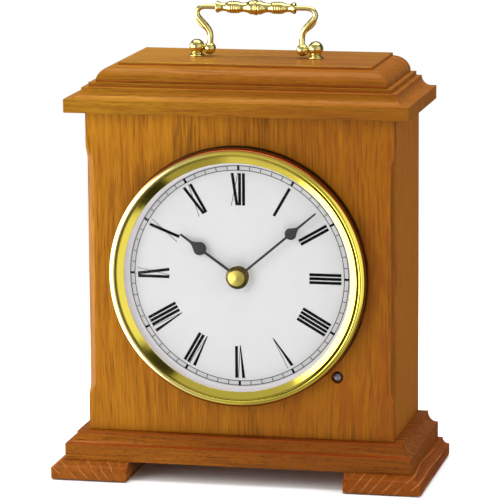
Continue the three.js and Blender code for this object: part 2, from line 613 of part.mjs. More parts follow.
// The turned grip: end collars, necks, ribbed bulges and a disc in the middle.
function grip() {
  const half = [[0.03, 1], [0.048, 0.79], [0.16, 0.79], [0.19, 0.635], [0.305, 0.567], [0.415, 0.635],
    [0.455, 0.79], [0.496, 0.79], [0.522, 0.69], [0.567, 0.79], [0.611, 0.69], [0.652, 0.79],
    [0.685, 0.71], [0.767, 0.452], [0.87, 0.52], [0.933, 0.625], [0.978, 0.625], [1, 0.5]]
    .map(([along, radius]) => [along * GRIP_HALF_LENGTH, radius * GRIP_RADIUS]);
  const right = half.map(([along, radius]) => [radius, along]);
  const left = right.map(([radius, along]) => [radius, -along]).reverse();
  const profile = [[0, -GRIP_HALF_LENGTH], ...left, ...right, [0, GRIP_HALF_LENGTH]];
  const body = turned(profile, { axis: "x", at: [0, HANDLE_Y, PIVOT_Z + GRIP_HEIGHT], segments: 14 });
  const socket = (side) => {
    const [a, b] = [side * (GRIP_HALF_LENGTH - ROD_TENON - SEAT_GAP), side * (GRIP_HALF_LENGTH + 1)];
    return turned(rod(BAIL_ROD_RADIUS + GLUE_LINE, Math.min(a, b), Math.max(a, b)),
      { axis: "x", at: [0, HANDLE_Y, PIVOT_Z + GRIP_HEIGHT] });
  };
  return cut(body, socket(-1), socket(1));
}

for (const [side, hand] of [[-1, "left"], [1, "right"]]) {
  add(`handle_post_${hand}`, handlePost(side), BRASS());
  add(`handle_nut_${hand}`, handleNut(side), BRASS());
  add(`bail_rod_${hand}`, bailRod(side), BRASS());
}
add("handle_grip", grip(), BRASS());

// ---------------------------------------------------------------- dial, bezel and glass

const rim = (profile) => turned(profile.map(([radius, height]) => [radius, FRONT - height]),
  { at: [0, 0, DIAL_Z], segments: RIM_SEGMENTS });

// Profiles below are pairs of radius and height in front of the case's front face.
function bezel() {
  const bead = BEAD_WIDTH / 2;
  const beadCentre = BEZEL_RADIUS - bead;
  const inner = BEZEL_RADIUS - BEZEL_WALL;
  const round = quarter(beadCentre, BEZEL_HEIGHT - bead, bead, bead, 0, 180, 6);
  return rim([[inner, SEAT_GAP], [BEZEL_RADIUS, SEAT_GAP], ...round, [beadCentre - bead, LIP_UNDERSIDE],
    [inner, LIP_UNDERSIDE]]);
}

// A domed disc of even thickness; its flat edge lies under the bezel's lip and the polished ring.
function bezelGlass() {
  const steps = 4;
  const domeRadius = SIGHT_RADIUS - SEAT_GAP;
  const side = (base) => [[GLASS_EDGE_RADIUS, base], ...Array.from({ length: steps + 1 }, (_, i) => {
    const share = 1 - i / steps;
    return [domeRadius * share, base + GLASS_RISE * (1 - share ** 2)];
  })];
  return rim([...side(GLASS_FRONT), ...side(GLASS_BACK).reverse()]);
}

// The polished ring in front of the glass: it slopes in from the bezel and stands on its outer skirt.
function sightRing() {
  const outer = BEZEL_RADIUS - BEAD_WIDTH - SEAT_GAP;
  return rim([[SIGHT_RADIUS, LIP_UNDERSIDE], [outer - SHEET, RING_HEIGHT - SHEET],
    [outer - SHEET, LIP_UNDERSIDE], [outer, LIP_UNDERSIDE], [outer, RING_HEIGHT],
    [SIGHT_RADIUS, SIGHT_HEIGHT]]);
}

function dialPlate() {
  return rim(tube(BUSHING_RADIUS + SEAT_GAP, DIAL_RADIUS, -DIAL_THICKNESS, 0));
}

// The moulded cup that carries dial and movement; its flange lies on the front of the case.
function insertBody() {
  const inner = DIAL_RADIUS + SEAT_GAP;
  const outer = INSERT_RADIUS;
  const flangeOuter = BEZEL_RADIUS - BEZEL_WALL - SEAT_GAP;
  const top = GLASS_BACK - SEAT_GAP;
  const floor = FRONT - INSERT_FLOOR_Y;
  const back = -FRONT_THICKNESS - SEAT_GAP - CLAMP_THICKNESS;
  return rim([[BUSHING_RADIUS + SEAT_GAP, floor], [inner, floor], [inner, top], [outer, top],
    [outer, SEAT_GAP + INSERT_FLANGE], [flangeOuter, SEAT_GAP + INSERT_FLANGE], [flangeOuter, SEAT_GAP],
    [outer, SEAT_GAP], [outer, back], [inner, back], [inner, floor - INSERT_FLOOR],
    [BUSHING_RADIUS + SEAT_GAP, floor - INSERT_FLOOR]]);
}

function clampRing() {
  const front = -FRONT_THICKNESS - SEAT_GAP;
  const inner = INSERT_RADIUS + SEAT_GAP;
  return rim(tube(inner, inner + CLAMP_WIDTH, front - CLAMP_THICKNESS, front));
}

// The photocell in its recess at the lower right of the bezel.
function sensorLens() {
  const y = FRONT + SENSOR_LENGTH;
  const shoulder = FRONT - SENSOR_PROUD + SENSOR_RADIUS;
  const dome = quarter(0, shoulder, SENSOR_RADIUS, -SENSOR_RADIUS, 0, 90, 4);
  dome[4][0] = 0;
  return turned([[0, y], [SENSOR_RADIUS, y], ...dome],
    { at: [SENSOR_OFFSET, 0, DIAL_Z - SENSOR_OFFSET], segments: TURNED_SEGMENTS });
}

add("bezel", bezel(), BRASS());
add("bezel_glass", bezelGlass(), material(0xffffff, 0.05, 0, { transparent: true, opacity: 0.25 }));
add("sight_ring", sightRing(), BRASS());
add("dial_plate", dialPlate(), WHITE());
add("insert_body", insertBody(), BLACK());
add("clamp_ring", clampRing(), BLACK());
add("sensor_lens", sensorLens(), material(0x6a666c, 0.3));

// ---------------------------------------------------------------- gears

// A gear in the x-z plane about (x, z); one tooth points in the direction toothAt, in degrees.
function gear({ teeth, module, at: [x, z], y: [from, to], toothAt }) {
  const pitch = (teeth * module) / 2;
  const [root, tip] = [pitch - 1.15 * module, pitch + 0.8 * module];
  const step = 360 / teeth;
  const outline = Array.from({ length: teeth }, (_, i) => toothAt + i * step)
    .flatMap((a) => [polar(root, a - step * 0.26), polar(tip, a - step * 0.1),
      polar(tip, a + step * 0.1), polar(root, a + step * 0.26)])
    .map(([u, v]) => [x + u, z + v]);
  return extruded(outline, "y", [from, to]);
}

const meshDistance = (train) => ((train.wheel + train.pinion) * train.module) / 2 + MESH_SLACK;
const beyond = ([x, z], distance, direction) => {
  const [dx, dz] = polar(distance, direction);
  return [x + dx, z + dz];
};
// Where a gear of so many teeth has a tooth, so that a gap faces the tooth of a gear in that direction.
const gapFacing = (direction, teeth) => direction + 180 + 180 / teeth;

const CENTRE = [0, DIAL_Z];
const INTERMEDIATE = beyond(CENTRE, meshDistance(CENTRE_TRAIN), CENTRE_TRAIN.direction);
const ROTOR = beyond(INTERMEDIATE, meshDistance(ROTOR_TRAIN), ROTOR_TRAIN.direction);
const MOTION = beyond(CENTRE, meshDistance(MINUTE_TO_MOTION), MINUTE_TO_MOTION.direction);

// Levels of the wheels, from the front wall of the movement towards the back.
const INNER_Y = MOVEMENT_Y + MOVEMENT_WALL;
const HOUR_LEVEL = [INNER_Y + SEAT_GAP, INNER_Y + SEAT_GAP + WHEEL_THICKNESS];
const nextLevel = ([, to]) => [to + LEVEL_STEP, to + LEVEL_STEP + WHEEL_THICKNESS];
const MOTION_LEVEL = nextLevel(HOUR_LEVEL);
const CENTRE_LEVEL = nextLevel(MOTION_LEVEL);
const INTERMEDIATE_LEVEL = nextLevel(CENTRE_LEVEL);
const MAGNET_FRONT = INTERMEDIATE_LEVEL[1] + LEVEL_STEP;
const MAGNET_LEVEL = [MAGNET_FRONT, MAGNET_FRONT + MAGNET_THICKNESS];
const GEAR_PLATE_Y = MAGNET_LEVEL[1] + LEVEL_STEP;
const GEAR_PLATE_BACK = GEAR_PLATE_Y + GEAR_PLATE_THICKNESS;

const shaft = (radius, from, to, [x, z], segments = PIN_SEGMENTS) =>
  turned(rod(radius, from, to), { at: [x, 0, z], segments });
const HOUR_PIPE_INNER = MINUTE_ARBOR_RADIUS + RUNNING_GAP;
const HOUR_PIPE_OUTER = HOUR_PIPE_INNER + HOUR_PIPE_WALL;
const HOUR_HAND_Y = FRONT - HOUR_HAND_HEIGHT;
const MINUTE_HAND_Y = FRONT - MINUTE_HAND_HEIGHT;
const PIVOT_DEPTH = 0.8; // how far a small arbor enters the front wall and the gear plate

function centreWheel() {
  const arborFront = MINUTE_HAND_Y - HAND_THICKNESS - SEAT_GAP;
  return union(
    shaft(MINUTE_ARBOR_RADIUS, arborFront, GEAR_PLATE_BACK, CENTRE),
    gear({ teeth: CENTRE_TRAIN.wheel, module: CENTRE_TRAIN.module, at: CENTRE, y: CENTRE_LEVEL,
      toothAt: CENTRE_TRAIN.direction }),
    gear({ teeth: MINUTE_TO_MOTION.pinion, module: MINUTE_TO_MOTION.module, at: CENTRE, y: MOTION_LEVEL,
      toothAt: MINUTE_TO_MOTION.direction }),
  );
}

function intermediateWheel() {
  return union(
    shaft(SMALL_ARBOR_RADIUS, INNER_Y - PIVOT_DEPTH, GEAR_PLATE_Y + PIVOT_DEPTH, INTERMEDIATE),
    gear({ teeth: CENTRE_TRAIN.pinion, module: CENTRE_TRAIN.module, at: INTERMEDIATE, y: CENTRE_LEVEL,
      toothAt: gapFacing(CENTRE_TRAIN.direction, CENTRE_TRAIN.pinion) }),
    gear({ teeth: ROTOR_TRAIN.wheel, module: ROTOR_TRAIN.module, at: INTERMEDIATE, y: INTERMEDIATE_LEVEL,
      toothAt: ROTOR_TRAIN.direction }),
  );
}

function rotor() {
  return union(
    shaft(SMALL_ARBOR_RADIUS, INNER_Y - PIVOT_DEPTH, GEAR_PLATE_Y + PIVOT_DEPTH, ROTOR),
    gear({ teeth: ROTOR_TRAIN.pinion, module: ROTOR_TRAIN.module, at: ROTOR, y: INTERMEDIATE_LEVEL,
      toothAt: gapFacing(ROTOR_TRAIN.direction, ROTOR_TRAIN.pinion) }),
    shaft(MAGNET_RADIUS, ...MAGNET_LEVEL, ROTOR),
  );
}

// The motion wheel's arbor runs out through the back and carries the setting knob.
function motionWheel() {
  const toHour = MINUTE_TO_MOTION.direction + 180;
  return union(
    shaft(SMALL_ARBOR_RADIUS, INNER_Y - PIVOT_DEPTH, MOVEMENT_BACK + SEAT_GAP + KNOB_HEIGHT * 0.6, MOTION),
    gear({ teeth: MINUTE_TO_MOTION.wheel, module: MINUTE_TO_MOTION.module, at: MOTION, y: MOTION_LEVEL,
      toothAt: gapFacing(MINUTE_TO_MOTION.direction, MINUTE_TO_MOTION.wheel) }),
    gear({ teeth: MOTION_TO_HOUR.pinion, module: MOTION_TO_HOUR.module, at: MOTION, y: HOUR_LEVEL,
      toothAt: toHour }),
  );
}

function hourWheel() {
  const toHour = MINUTE_TO_MOTION.direction + 180;
  const pipeFront = HOUR_HAND_Y - HAND_THICKNESS - GLUE_LINE;
  const wheel = gear({ teeth: MOTION_TO_HOUR.wheel, module: MOTION_TO_HOUR.module, at: CENTRE, y: HOUR_LEVEL,
    toothAt: gapFacing(toHour, MOTION_TO_HOUR.wheel) });
  return cut(union(wheel, shaft(HOUR_PIPE_OUTER, pipeFront, HOUR_LEVEL[1], CENTRE, PIPE_SEGMENTS)),
    shaft(HOUR_PIPE_INNER, pipeFront - 1, HOUR_LEVEL[1] + 1, CENTRE));
}

add("centre_wheel", centreWheel(), BRASS());
add("intermediate_wheel", intermediateWheel(), WHITE());
add("rotor", rotor(), STEEL());
add("motion_wheel", motionWheel(), WHITE());
add("hour_wheel", hourWheel(), WHITE());

// ---------------------------------------------------------------- hands

// A spade hand that points up from (0, 0): a thin stem, a round spade that narrows to a needle.
function handOutline(reach, shares) {
  const [spade, spadeRadius, shoulder, stem] = [shares.spade, shares.radius, shares.shoulder, shares.stem]
    .map((share) => share * reach);
  const open = Math.asin(stem / spadeRadius);
  const lower = Array.from({ length: 8 }, (_, i) => {
    const angle = open + ((Math.PI * 0.62 - open) * i) / 7;
    return [spadeRadius * Math.sin(angle), spade - spadeRadius * Math.cos(angle)];
  });
  const [startX, startY] = lower.at(-1);
  const ogee = Array.from({ length: 5 }, (_, i) => {
    const share = (i + 1) / 5;
    return [stem + (startX - stem) * (1 - share) ** 1.6, startY + (shoulder - startY) * share];
  });
  const right = [[stem, 0], ...lower, ...ogee, [stem * 0.2, reach]];
  const left = right.map(([x, y]) => [-x, y]).reverse();
  return [...right, ...left];
}

// Turned to its angle and placed at the depth y; the hub is pierced for the arbor that carries it.
function hand(reach, shares, angle, y, hole) {
  const turn = THREE.MathUtils.degToRad(-angle);
  const outline = handOutline(reach, shares).map(([x, z]) => [
    x * Math.cos(turn) - z * Math.sin(turn),
    DIAL_Z + x * Math.sin(turn) + z * Math.cos(turn),
  ]);
  const blade = extruded(outline, "y", [y - HAND_THICKNESS, y]);
  return cut(union(blade, shaft(HAND_HUB_RADIUS, y - HAND_THICKNESS, y, CENTRE)),
    shaft(hole, y - HAND_THICKNESS - 1, y + 1, CENTRE));
}

// The brass cap that holds the minute hand: a wide foot, a hollow side and a dimpled face.
function handCap() {
  const rear = MINUTE_HAND_Y - HAND_THICKNESS - GLUE_LINE;
  const face = rear - CAP_HEIGHT;
  const [wide, narrow] = [CAP_REAR_RADIUS, CAP_FRONT_RADIUS];
  const profile = [[0, rear], [wide, rear], [wide, rear - 0.7], [wide - 1.2, rear - 1.2],
    [narrow - 0.2, rear - 2.2], [narrow, face + 0.3], [narrow - 0.3, face], [CAP_DIMPLE, face],
    [0, face + CAP_DIMPLE * 0.7]];
  const socket = rod(MINUTE_ARBOR_RADIUS + GLUE_LINE, rear - 2 * SEAT_GAP, rear + 1);
  return cut(turned(profile, { at: [0, 0, DIAL_Z], segments: TURNED_SEGMENTS }),
    turned(socket, { at: [0, 0, DIAL_Z] }));
}

function fixingNut() {
  const [front, back] = [FRONT - SEAT_GAP - NUT_THICKNESS, FRONT - SEAT_GAP];
  const hexagon = Array.from({ length: 6 }, (_, i) => polar(NUT_RADIUS, 60 * i + 30))
    .map(([x, z]) => [x, DIAL_Z + z]);
  return cut(
    union(extruded(hexagon, "y", [front, back]),
      shaft(NUT_FLANGE_RADIUS, back - NUT_FLANGE_THICKNESS, back, CENTRE)),
    shaft(BUSHING_RADIUS + GLUE_LINE, front - 1, back + 1, CENTRE),
  );
}

add("hour_hand",
  hand(HOUR_REACH, HOUR_SHAPE, HOUR_ANGLE, HOUR_HAND_Y, HOUR_PIPE_OUTER + GLUE_LINE), BLACK());
add("minute_hand",
  hand(MINUTE_REACH, MINUTE_SHAPE, MINUTE_ANGLE, MINUTE_HAND_Y, MINUTE_ARBOR_RADIUS + GLUE_LINE), BLACK());
add("hand_cap", handCap(), BRASS());
add("fixing_nut", fixingNut(), BRASS());

// ---------------------------------------------------------------- movement

const movementX = (inset) => [inset - MOVEMENT_HALF_WIDTH, MOVEMENT_HALF_WIDTH - inset];
const movementZ = (inset) => [DIAL_Z - MOVEMENT_BOTTOM + inset, DIAL_Z + MOVEMENT_TOP - inset];
const bearing = (centre, from, to, radius = SMALL_ARBOR_RADIUS, segments = PIN_SEGMENTS) =>
  shaft(radius + RUNNING_GAP, from, to, centre, segments);

// The front shell, open at the back, with the threaded bushing that passes through the dial.
function movementCase() {
  const coverFront = MOVEMENT_BACK - MOVEMENT_WALL;
  const shell = cut(
    block(movementX(0), [MOVEMENT_Y, coverFront - SEAT_GAP], movementZ(0)),
    block(movementX(MOVEMENT_WALL), [INNER_Y, coverFront + 1], movementZ(MOVEMENT_WALL)),
  );
  const bushing = shaft(BUSHING_RADIUS, FRONT - BUSHING_HEIGHT, MOVEMENT_Y + 1, CENTRE);
  return cut(
    union(shell, bushing),
    bearing(CENTRE, FRONT - BUSHING_HEIGHT - 1, INNER_Y + 1, HOUR_PIPE_OUTER, PIPE_SEGMENTS),
    ...[INTERMEDIATE, ROTOR, MOTION].map((centre) => bearing(centre, INNER_Y - 2 * PIVOT_DEPTH, INNER_Y + 1)),
  );
}

// The plate behind the wheels, on four posts from the front wall of the case.
function gearPlate() {
  const reach = STATOR_REACH + PLATE_MARGIN;
  const [x0, x1] = [ROTOR[0] - reach, ROTOR[0] + reach];
  const [z0, z1] = [MOTION[1] - PLATE_MARGIN, ROTOR[1] + CORE_RISE - COIL_RADIUS - LEVEL_STEP];
  const pillars = [x0 + PILLAR_INSET, x1 - PILLAR_INSET].flatMap((x) =>
    [z0 + PILLAR_INSET, z1 - PILLAR_INSET].map((z) =>
      shaft(PILLAR_RADIUS, INNER_Y + SEAT_GAP, GEAR_PLATE_Y + 1, [x, z])));
  return cut(
    union(block([x0, x1], [GEAR_PLATE_Y, GEAR_PLATE_BACK], [z0, z1]), ...pillars),
    bearing(CENTRE, GEAR_PLATE_Y - 1, GEAR_PLATE_BACK + 1, MINUTE_ARBOR_RADIUS),
    ...[INTERMEDIATE, ROTOR, MOTION].map((centre) => bearing(centre, GEAR_PLATE_Y - 1, GEAR_PLATE_BACK + 1)),
  );
}

const BAY_Z = [DIAL_Z - MOVEMENT_BOTTOM + MOVEMENT_WALL + SEAT_GAP + BAY_WALL,
  DIAL_Z - MOVEMENT_BOTTOM + MOVEMENT_WALL + SEAT_GAP + BAY_WALL + 2 * CELL_PITCH];
const BAY_FLOOR_Y = MOVEMENT_BACK - BAY_DEPTH;
const CELL_Y = BAY_FLOOR_Y + SEAT_GAP + CELL_RADIUS;

// The back cover, with the battery tray moulded into it and holes for the controls.
function movementCover() {
  const plate = [MOVEMENT_BACK - MOVEMENT_WALL, MOVEMENT_BACK];
  const through = [plate[0] - 1, plate[1] + 1];
  const half = BAY_LENGTH / 2;
  const tray = block([-half - BAY_WALL, half + BAY_WALL], [BAY_FLOOR_Y - BAY_WALL, plate[1]],
    [BAY_Z[0] - BAY_WALL, BAY_Z[1] + BAY_WALL]);
  const slotHalf = SWITCH_WIDTH / 2 + SWITCH_TRAVEL + SLIDE_GAP;
  const slotTall = SWITCH_TALL / 2 + SLIDE_GAP;
  return cut(
    union(block(movementX(0), plate, movementZ(0)), tray),
    block([-half, half], [BAY_FLOOR_Y, through[1]], BAY_Z),
    bearing(MOTION, ...through),
    shaft(CONTROL_SHAFT_RADIUS + RUNNING_GAP, ...through, [CONTROL_COLUMN, DIAL_Z + VOLUME_Z]),
    block([CONTROL_COLUMN - slotHalf, CONTROL_COLUMN + slotHalf], through,
      [DIAL_Z + SWITCH_Z - slotTall, DIAL_Z + SWITCH_Z + slotTall]),
    shaft(BUTTON_RADIUS + SLIDE_GAP, ...through, [CONTROL_COLUMN, DIAL_Z + BUTTON_Z]),
  );
}

// The stator: a plate round the rotor's magnet, two legs and the coil's core between them.
function stator() {
  const [x, z] = ROTOR;
  const middle = (MAGNET_LEVEL[0] + MAGNET_LEVEL[1]) / 2;
  const y = [middle - STATOR_THICKNESS / 2, middle + STATOR_THICKNESS / 2];
  const reach = STATOR_REACH;
  const foot = MAGNET_RADIUS + 1.6;
  const leg = (side) => block([x + side * reach, x + side * (reach - STATOR_LEG)].sort((a, b) => a - b), y,
    [z - foot, z + CORE_RISE + CORE_RADIUS]);
  return cut(
    union(
      block([x - reach, x + reach], y, [z - foot, z + foot]),
      leg(-1),
      leg(1),
      turned(rod(CORE_RADIUS, x - reach + 1, x + reach - 1), { axis: "x", at: [0, middle, z + CORE_RISE] }),
    ),
    shaft(MAGNET_RADIUS + STATOR_HOLE_GAP, y[0] - 1, y[1] + 1, ROTOR),
  );
}

function coil() {
  const [x, z] = ROTOR;
  const half = STATOR_REACH - STATOR_LEG - SEAT_GAP;
  const middle = (MAGNET_LEVEL[0] + MAGNET_LEVEL[1]) / 2;
  return turned(tube(CORE_RADIUS + SEAT_GAP, COIL_RADIUS, x - half, x + half),
    { axis: "x", at: [0, middle, z + CORE_RISE] });
}

// The board stands between the front wall and the battery tray, with its chip and quartz crystal.
function circuitBoard() {
  const y0 = INNER_Y + SEAT_GAP;
  const board = [y0 + BOARD_STANDOFF, y0 + BOARD_STANDOFF + BOARD_THICKNESS];
  const bottom = DIAL_Z - MOVEMENT_BOTTOM + MOVEMENT_WALL + BOARD_MARGIN;
  const middle = bottom + BOARD_HEIGHT / 2;
  const half = MOVEMENT_HALF_WIDTH - MOVEMENT_WALL - BOARD_MARGIN;
  const part = (x, width, tall, up) => block([x - width / 2, x + width / 2], [board[1] - 0.2, board[1] + up],
    [middle - tall / 2, middle + tall / 2]);
  const foot = (x) => shaft(PILLAR_RADIUS, y0, board[0] + 0.2, [x, middle]);
  const crystal = part(-2 * CHIP_SIZE, CHIP_SIZE * 0.6, CHIP_SIZE * 1.3, 1.5);
  const connector = part(2.4 * CHIP_SIZE, CHIP_SIZE, CHIP_SIZE * 0.4, 1.8);
  return union(block([-half, half], board, [bottom, bottom + BOARD_HEIGHT]),
    part(0, CHIP_SIZE, CHIP_SIZE, 1.2), crystal, connector, foot(-half * 0.9), foot(half * 0.9));
}

add("movement_case", movementCase(), BLACK());
add("movement_cover", movementCover(), BLACK());
add("gear_plate", gearPlate(), WHITE());
add("stator", stator(), STEEL());
add("coil", coil(), material(0xa4552a, 0.4, 0.6));
add("circuit_board", circuitBoard(), material(0x2f6b3a, 0.6));

// ---------------------------------------------------------------- batteries

const cellZ = (row) => BAY_Z[0] + CELL_PITCH * (row + 0.5);

// One AA cell along x; its nub points to the right (1) or to the left (-1).
function cell(row, side) {
  const end = CELL_LENGTH / 2;
  const profile = [[0, -end], [CELL_RADIUS, -end], [CELL_RADIUS, end], [CELL_NUB_RADIUS, end],
    [CELL_NUB_RADIUS, end + CELL_NUB_LENGTH], [0, end + CELL_NUB_LENGTH]];
  return turned(profile.map(([r, along]) => [r, side * along]),
    { axis: "x", at: [side * 1, CELL_Y, cellZ(row)], segments: TURNED_SEGMENTS });
}

// A contact strip at one end of the bay that touches both cells; a boss stands for each spring.
function contactStrip(side) {
  const wall = side * (BAY_LENGTH / 2 - SEAT_GAP);
  const x = [wall, wall - side * CONTACT_THICKNESS].sort((a, b) => a - b);
  const strip = block(x, [CELL_Y - 5, CELL_Y + 5], [BAY_Z[0] + 1, BAY_Z[1] - 1]);
  const bosses = [0, 1].map((row) => {
    const nubSide = row === 0 ? -1 : 1;
    const end = nubSide === side ? CELL_LENGTH / 2 + CELL_NUB_LENGTH + 1 : CELL_LENGTH / 2 - 1;
    const tip = side * (end + SEAT_GAP);
    const span = [wall, tip].sort((a, b) => a - b);
    const radius = nubSide === side ? CELL_NUB_RADIUS : CELL_RADIUS * 0.6;
    return turned(rod(radius, ...span), { axis: "x", at: [0, CELL_Y, cellZ(row)] });
  });
  return union(strip, ...bosses);
}

function batteryLid() {
  const half = BAY_LENGTH / 2 + LID_OVERLAP;
  const y0 = MOVEMENT_BACK + SEAT_GAP;
  return union(
    block([-half, half], [y0, y0 + LID_THICKNESS], [BAY_Z[0] - LID_OVERLAP, BAY_Z[1] + LID_OVERLAP]),
    block([-6, 6], [y0 + LID_THICKNESS - 0.2, y0 + LID_THICKNESS + 0.8], [cellZ(0.5) - 3, cellZ(0.5) + 3]),
  );
}

add("battery_lower", cell(0, -1), material(0x2a2d33, 0.35, 0.4));
add("battery_upper", cell(1, 1), material(0x2a2d33, 0.35, 0.4));
add("battery_contact_left", contactStrip(-1), STEEL());
add("battery_contact_right", contactStrip(1), STEEL());
add("battery_lid", batteryLid(), BLACK());

// ---------------------------------------------------------------- controls

// A fluted knob whose skirt stands just off the cover.
function flutedKnob([x, z], radius, height, bore) {
  const y0 = MOVEMENT_BACK + SEAT_GAP;
  const flutes = 12;
  const outline = Array.from({ length: flutes * 2 }, (_, i) =>
    polar(i % 2 ? radius : radius * 0.9, (180 / flutes) * i)).map(([u, v]) => [x + u, z + v]);
  const body = extruded(outline, "y", [y0, y0 + height]);
  return bore ? cut(body, shaft(bore, y0 - 1, y0 + height * 0.7, [x, z])) : body;
}

function volumeDial() {
  const at = [CONTROL_COLUMN, DIAL_Z + VOLUME_Z];
  return union(flutedKnob(at, KNOB_RADIUS, KNOB_HEIGHT * 0.8, 0),
    shaft(CONTROL_SHAFT_RADIUS, MOVEMENT_BACK - CONTROL_SHAFT_LENGTH, MOVEMENT_BACK + 1, at));
}

// A slider with a foot inside the cover, wider than its slot.
function melodySwitch() {
  const z = DIAL_Z + SWITCH_Z;
  const inside = MOVEMENT_BACK - MOVEMENT_WALL - SEAT_GAP;
  const footHalf = SWITCH_WIDTH / 2 + 1.5;
  return union(
    block([CONTROL_COLUMN - SWITCH_WIDTH / 2, CONTROL_COLUMN + SWITCH_WIDTH / 2],
      [inside - 1, MOVEMENT_BACK + CONTROL_PROUD], [z - SWITCH_TALL / 2, z + SWITCH_TALL / 2]),
    block([CONTROL_COLUMN - footHalf, CONTROL_COLUMN + footHalf], [inside - 1.5, inside],
      [z - SWITCH_TALL / 2 - 1.5, z + SWITCH_TALL / 2 + 1.5]),
  );
}

function demoButton() {
  const inside = MOVEMENT_BACK - MOVEMENT_WALL - SEAT_GAP;
  const r = BUTTON_RADIUS;
  const profile = [[0, inside - 1.2], [r + 1.2, inside - 1.2], [r + 1.2, inside], [r, inside],
    [r, MOVEMENT_BACK + CONTROL_PROUD - 0.5], [r - 0.5, MOVEMENT_BACK + CONTROL_PROUD],
    [0, MOVEMENT_BACK + CONTROL_PROUD]];
  return turned(profile, { at: [CONTROL_COLUMN, 0, DIAL_Z + BUTTON_Z] });
}

add("set_knob", flutedKnob(MOTION, KNOB_RADIUS, KNOB_HEIGHT, SMALL_ARBOR_RADIUS + GLUE_LINE), WHITE());
add("volume_dial", volumeDial(), WHITE());
add("melody_switch", melodySwitch(), WHITE());
add("demo_button", demoButton(), WHITE());

// ---------------------------------------------------------------- speaker and leads

const SPEAKER_BACK = PANEL_INNER_Y - SEAT_GAP;

function speakerBasket() {
  const y = (depth) => SPEAKER_BACK - depth;
  const [r, can, shell] = [SPEAKER_RADIUS, MAGNET_CAN_RADIUS, SPEAKER_SHELL];
  const profile = [[0, y(SPEAKER_DEPTH + MAGNET_CAN_DEPTH)], [can, y(SPEAKER_DEPTH + MAGNET_CAN_DEPTH)],
    [can, y(SPEAKER_DEPTH)], [r - 3, y(shell)], [r, y(shell)], [r, y(0)], [r - 3, y(0)],
    [can - 2, y(SPEAKER_DEPTH - shell)], [0, y(SPEAKER_DEPTH - shell)]];
  return turned(profile, { at: [0, 0, DIAL_Z + SPEAKER_Z], segments: TURNED_SEGMENTS });
}

function speakerCone() {
  const y = (depth) => SPEAKER_BACK - depth;
  const outer = SPEAKER_RADIUS - 4.5;
  const inner = MAGNET_CAN_RADIUS - 4;
  const deep = SPEAKER_DEPTH - 3.5;
  const profile = [[0, y(deep - 3)], [6, y(deep - 0.8)], [inner, y(deep)], [outer, y(0.9)], [outer, y(0.2)],
    [inner, y(deep - 1)], [6, y(deep - 1.8)], [0, y(deep - 4)]];
  return turned(profile, { at: [0, 0, DIAL_Z + SPEAKER_Z], segments: TURNED_SEGMENTS });
}

// A two-core lead through points given as [x, depth behind the front face, height from the centre].
function lead(points) {
  const route = points.map(([x, depth, up]) => new THREE.Vector3(x, FRONT + depth, DIAL_Z + up));
  const path = new THREE.CatmullRomCurve3(route, false, "centripetal");
  const section = new THREE.Shape(Array.from({ length: LEAD_SIDES }, (_, i) =>
    new THREE.Vector2(...polar(LEAD_RADIUS, (360 * i) / LEAD_SIDES))));
  return toSolid(new THREE.ExtrudeGeometry(section, { steps: 12, extrudePath: path }));
}

const SENSOR_LEAD_ROUTE = [
  [SENSOR_OFFSET, SENSOR_LENGTH + SEAT_GAP, -SENSOR_OFFSET],
  [SENSOR_OFFSET, FRONT_THICKNESS + 4, -SENSOR_OFFSET],
  [60, 22, -56],
  [55, 24, -44],
  [MOVEMENT_HALF_WIDTH + LEAD_RADIUS + SEAT_GAP + 1, 22, -34],
];
const speakerTerminal = SPEAKER_BACK - FRONT - SPEAKER_DEPTH - MAGNET_CAN_DEPTH;
const SPEAKER_LEAD_ROUTE = [
  [10, speakerTerminal - SEAT_GAP, SPEAKER_Z],
  [10, speakerTerminal - 8, SPEAKER_Z - 2],
  [14, speakerTerminal - 14, SPEAKER_Z - 14],
  [20, 20, MOVEMENT_TOP + 7],
  [20, 18, MOVEMENT_TOP + SEAT_GAP],
];

add("speaker_basket", speakerBasket(), STEEL());
add("speaker_cone", speakerCone(), material(0x2b2b2b, 0.9));
add("sensor_lead", lead(SENSOR_LEAD_ROUTE), BLACK());
add("speaker_lead", lead(SPEAKER_LEAD_ROUTE), BLACK());

export default clock;
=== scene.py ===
"""Looks of the mantel clock.

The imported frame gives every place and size. Finer surfaces stand for the plain solids that show,
and each piece gets a finish worked out by nodes. Lengths in the shape functions are millimetres;
meshes and finishes are in metres. +X is to the right of someone who faces the dial, which faces -Y.
"""

import math

import bmesh
import bpy
import numpy as np
from bpy.props import FloatProperty, FloatVectorProperty, PointerProperty
from mathutils import Matrix, Vector


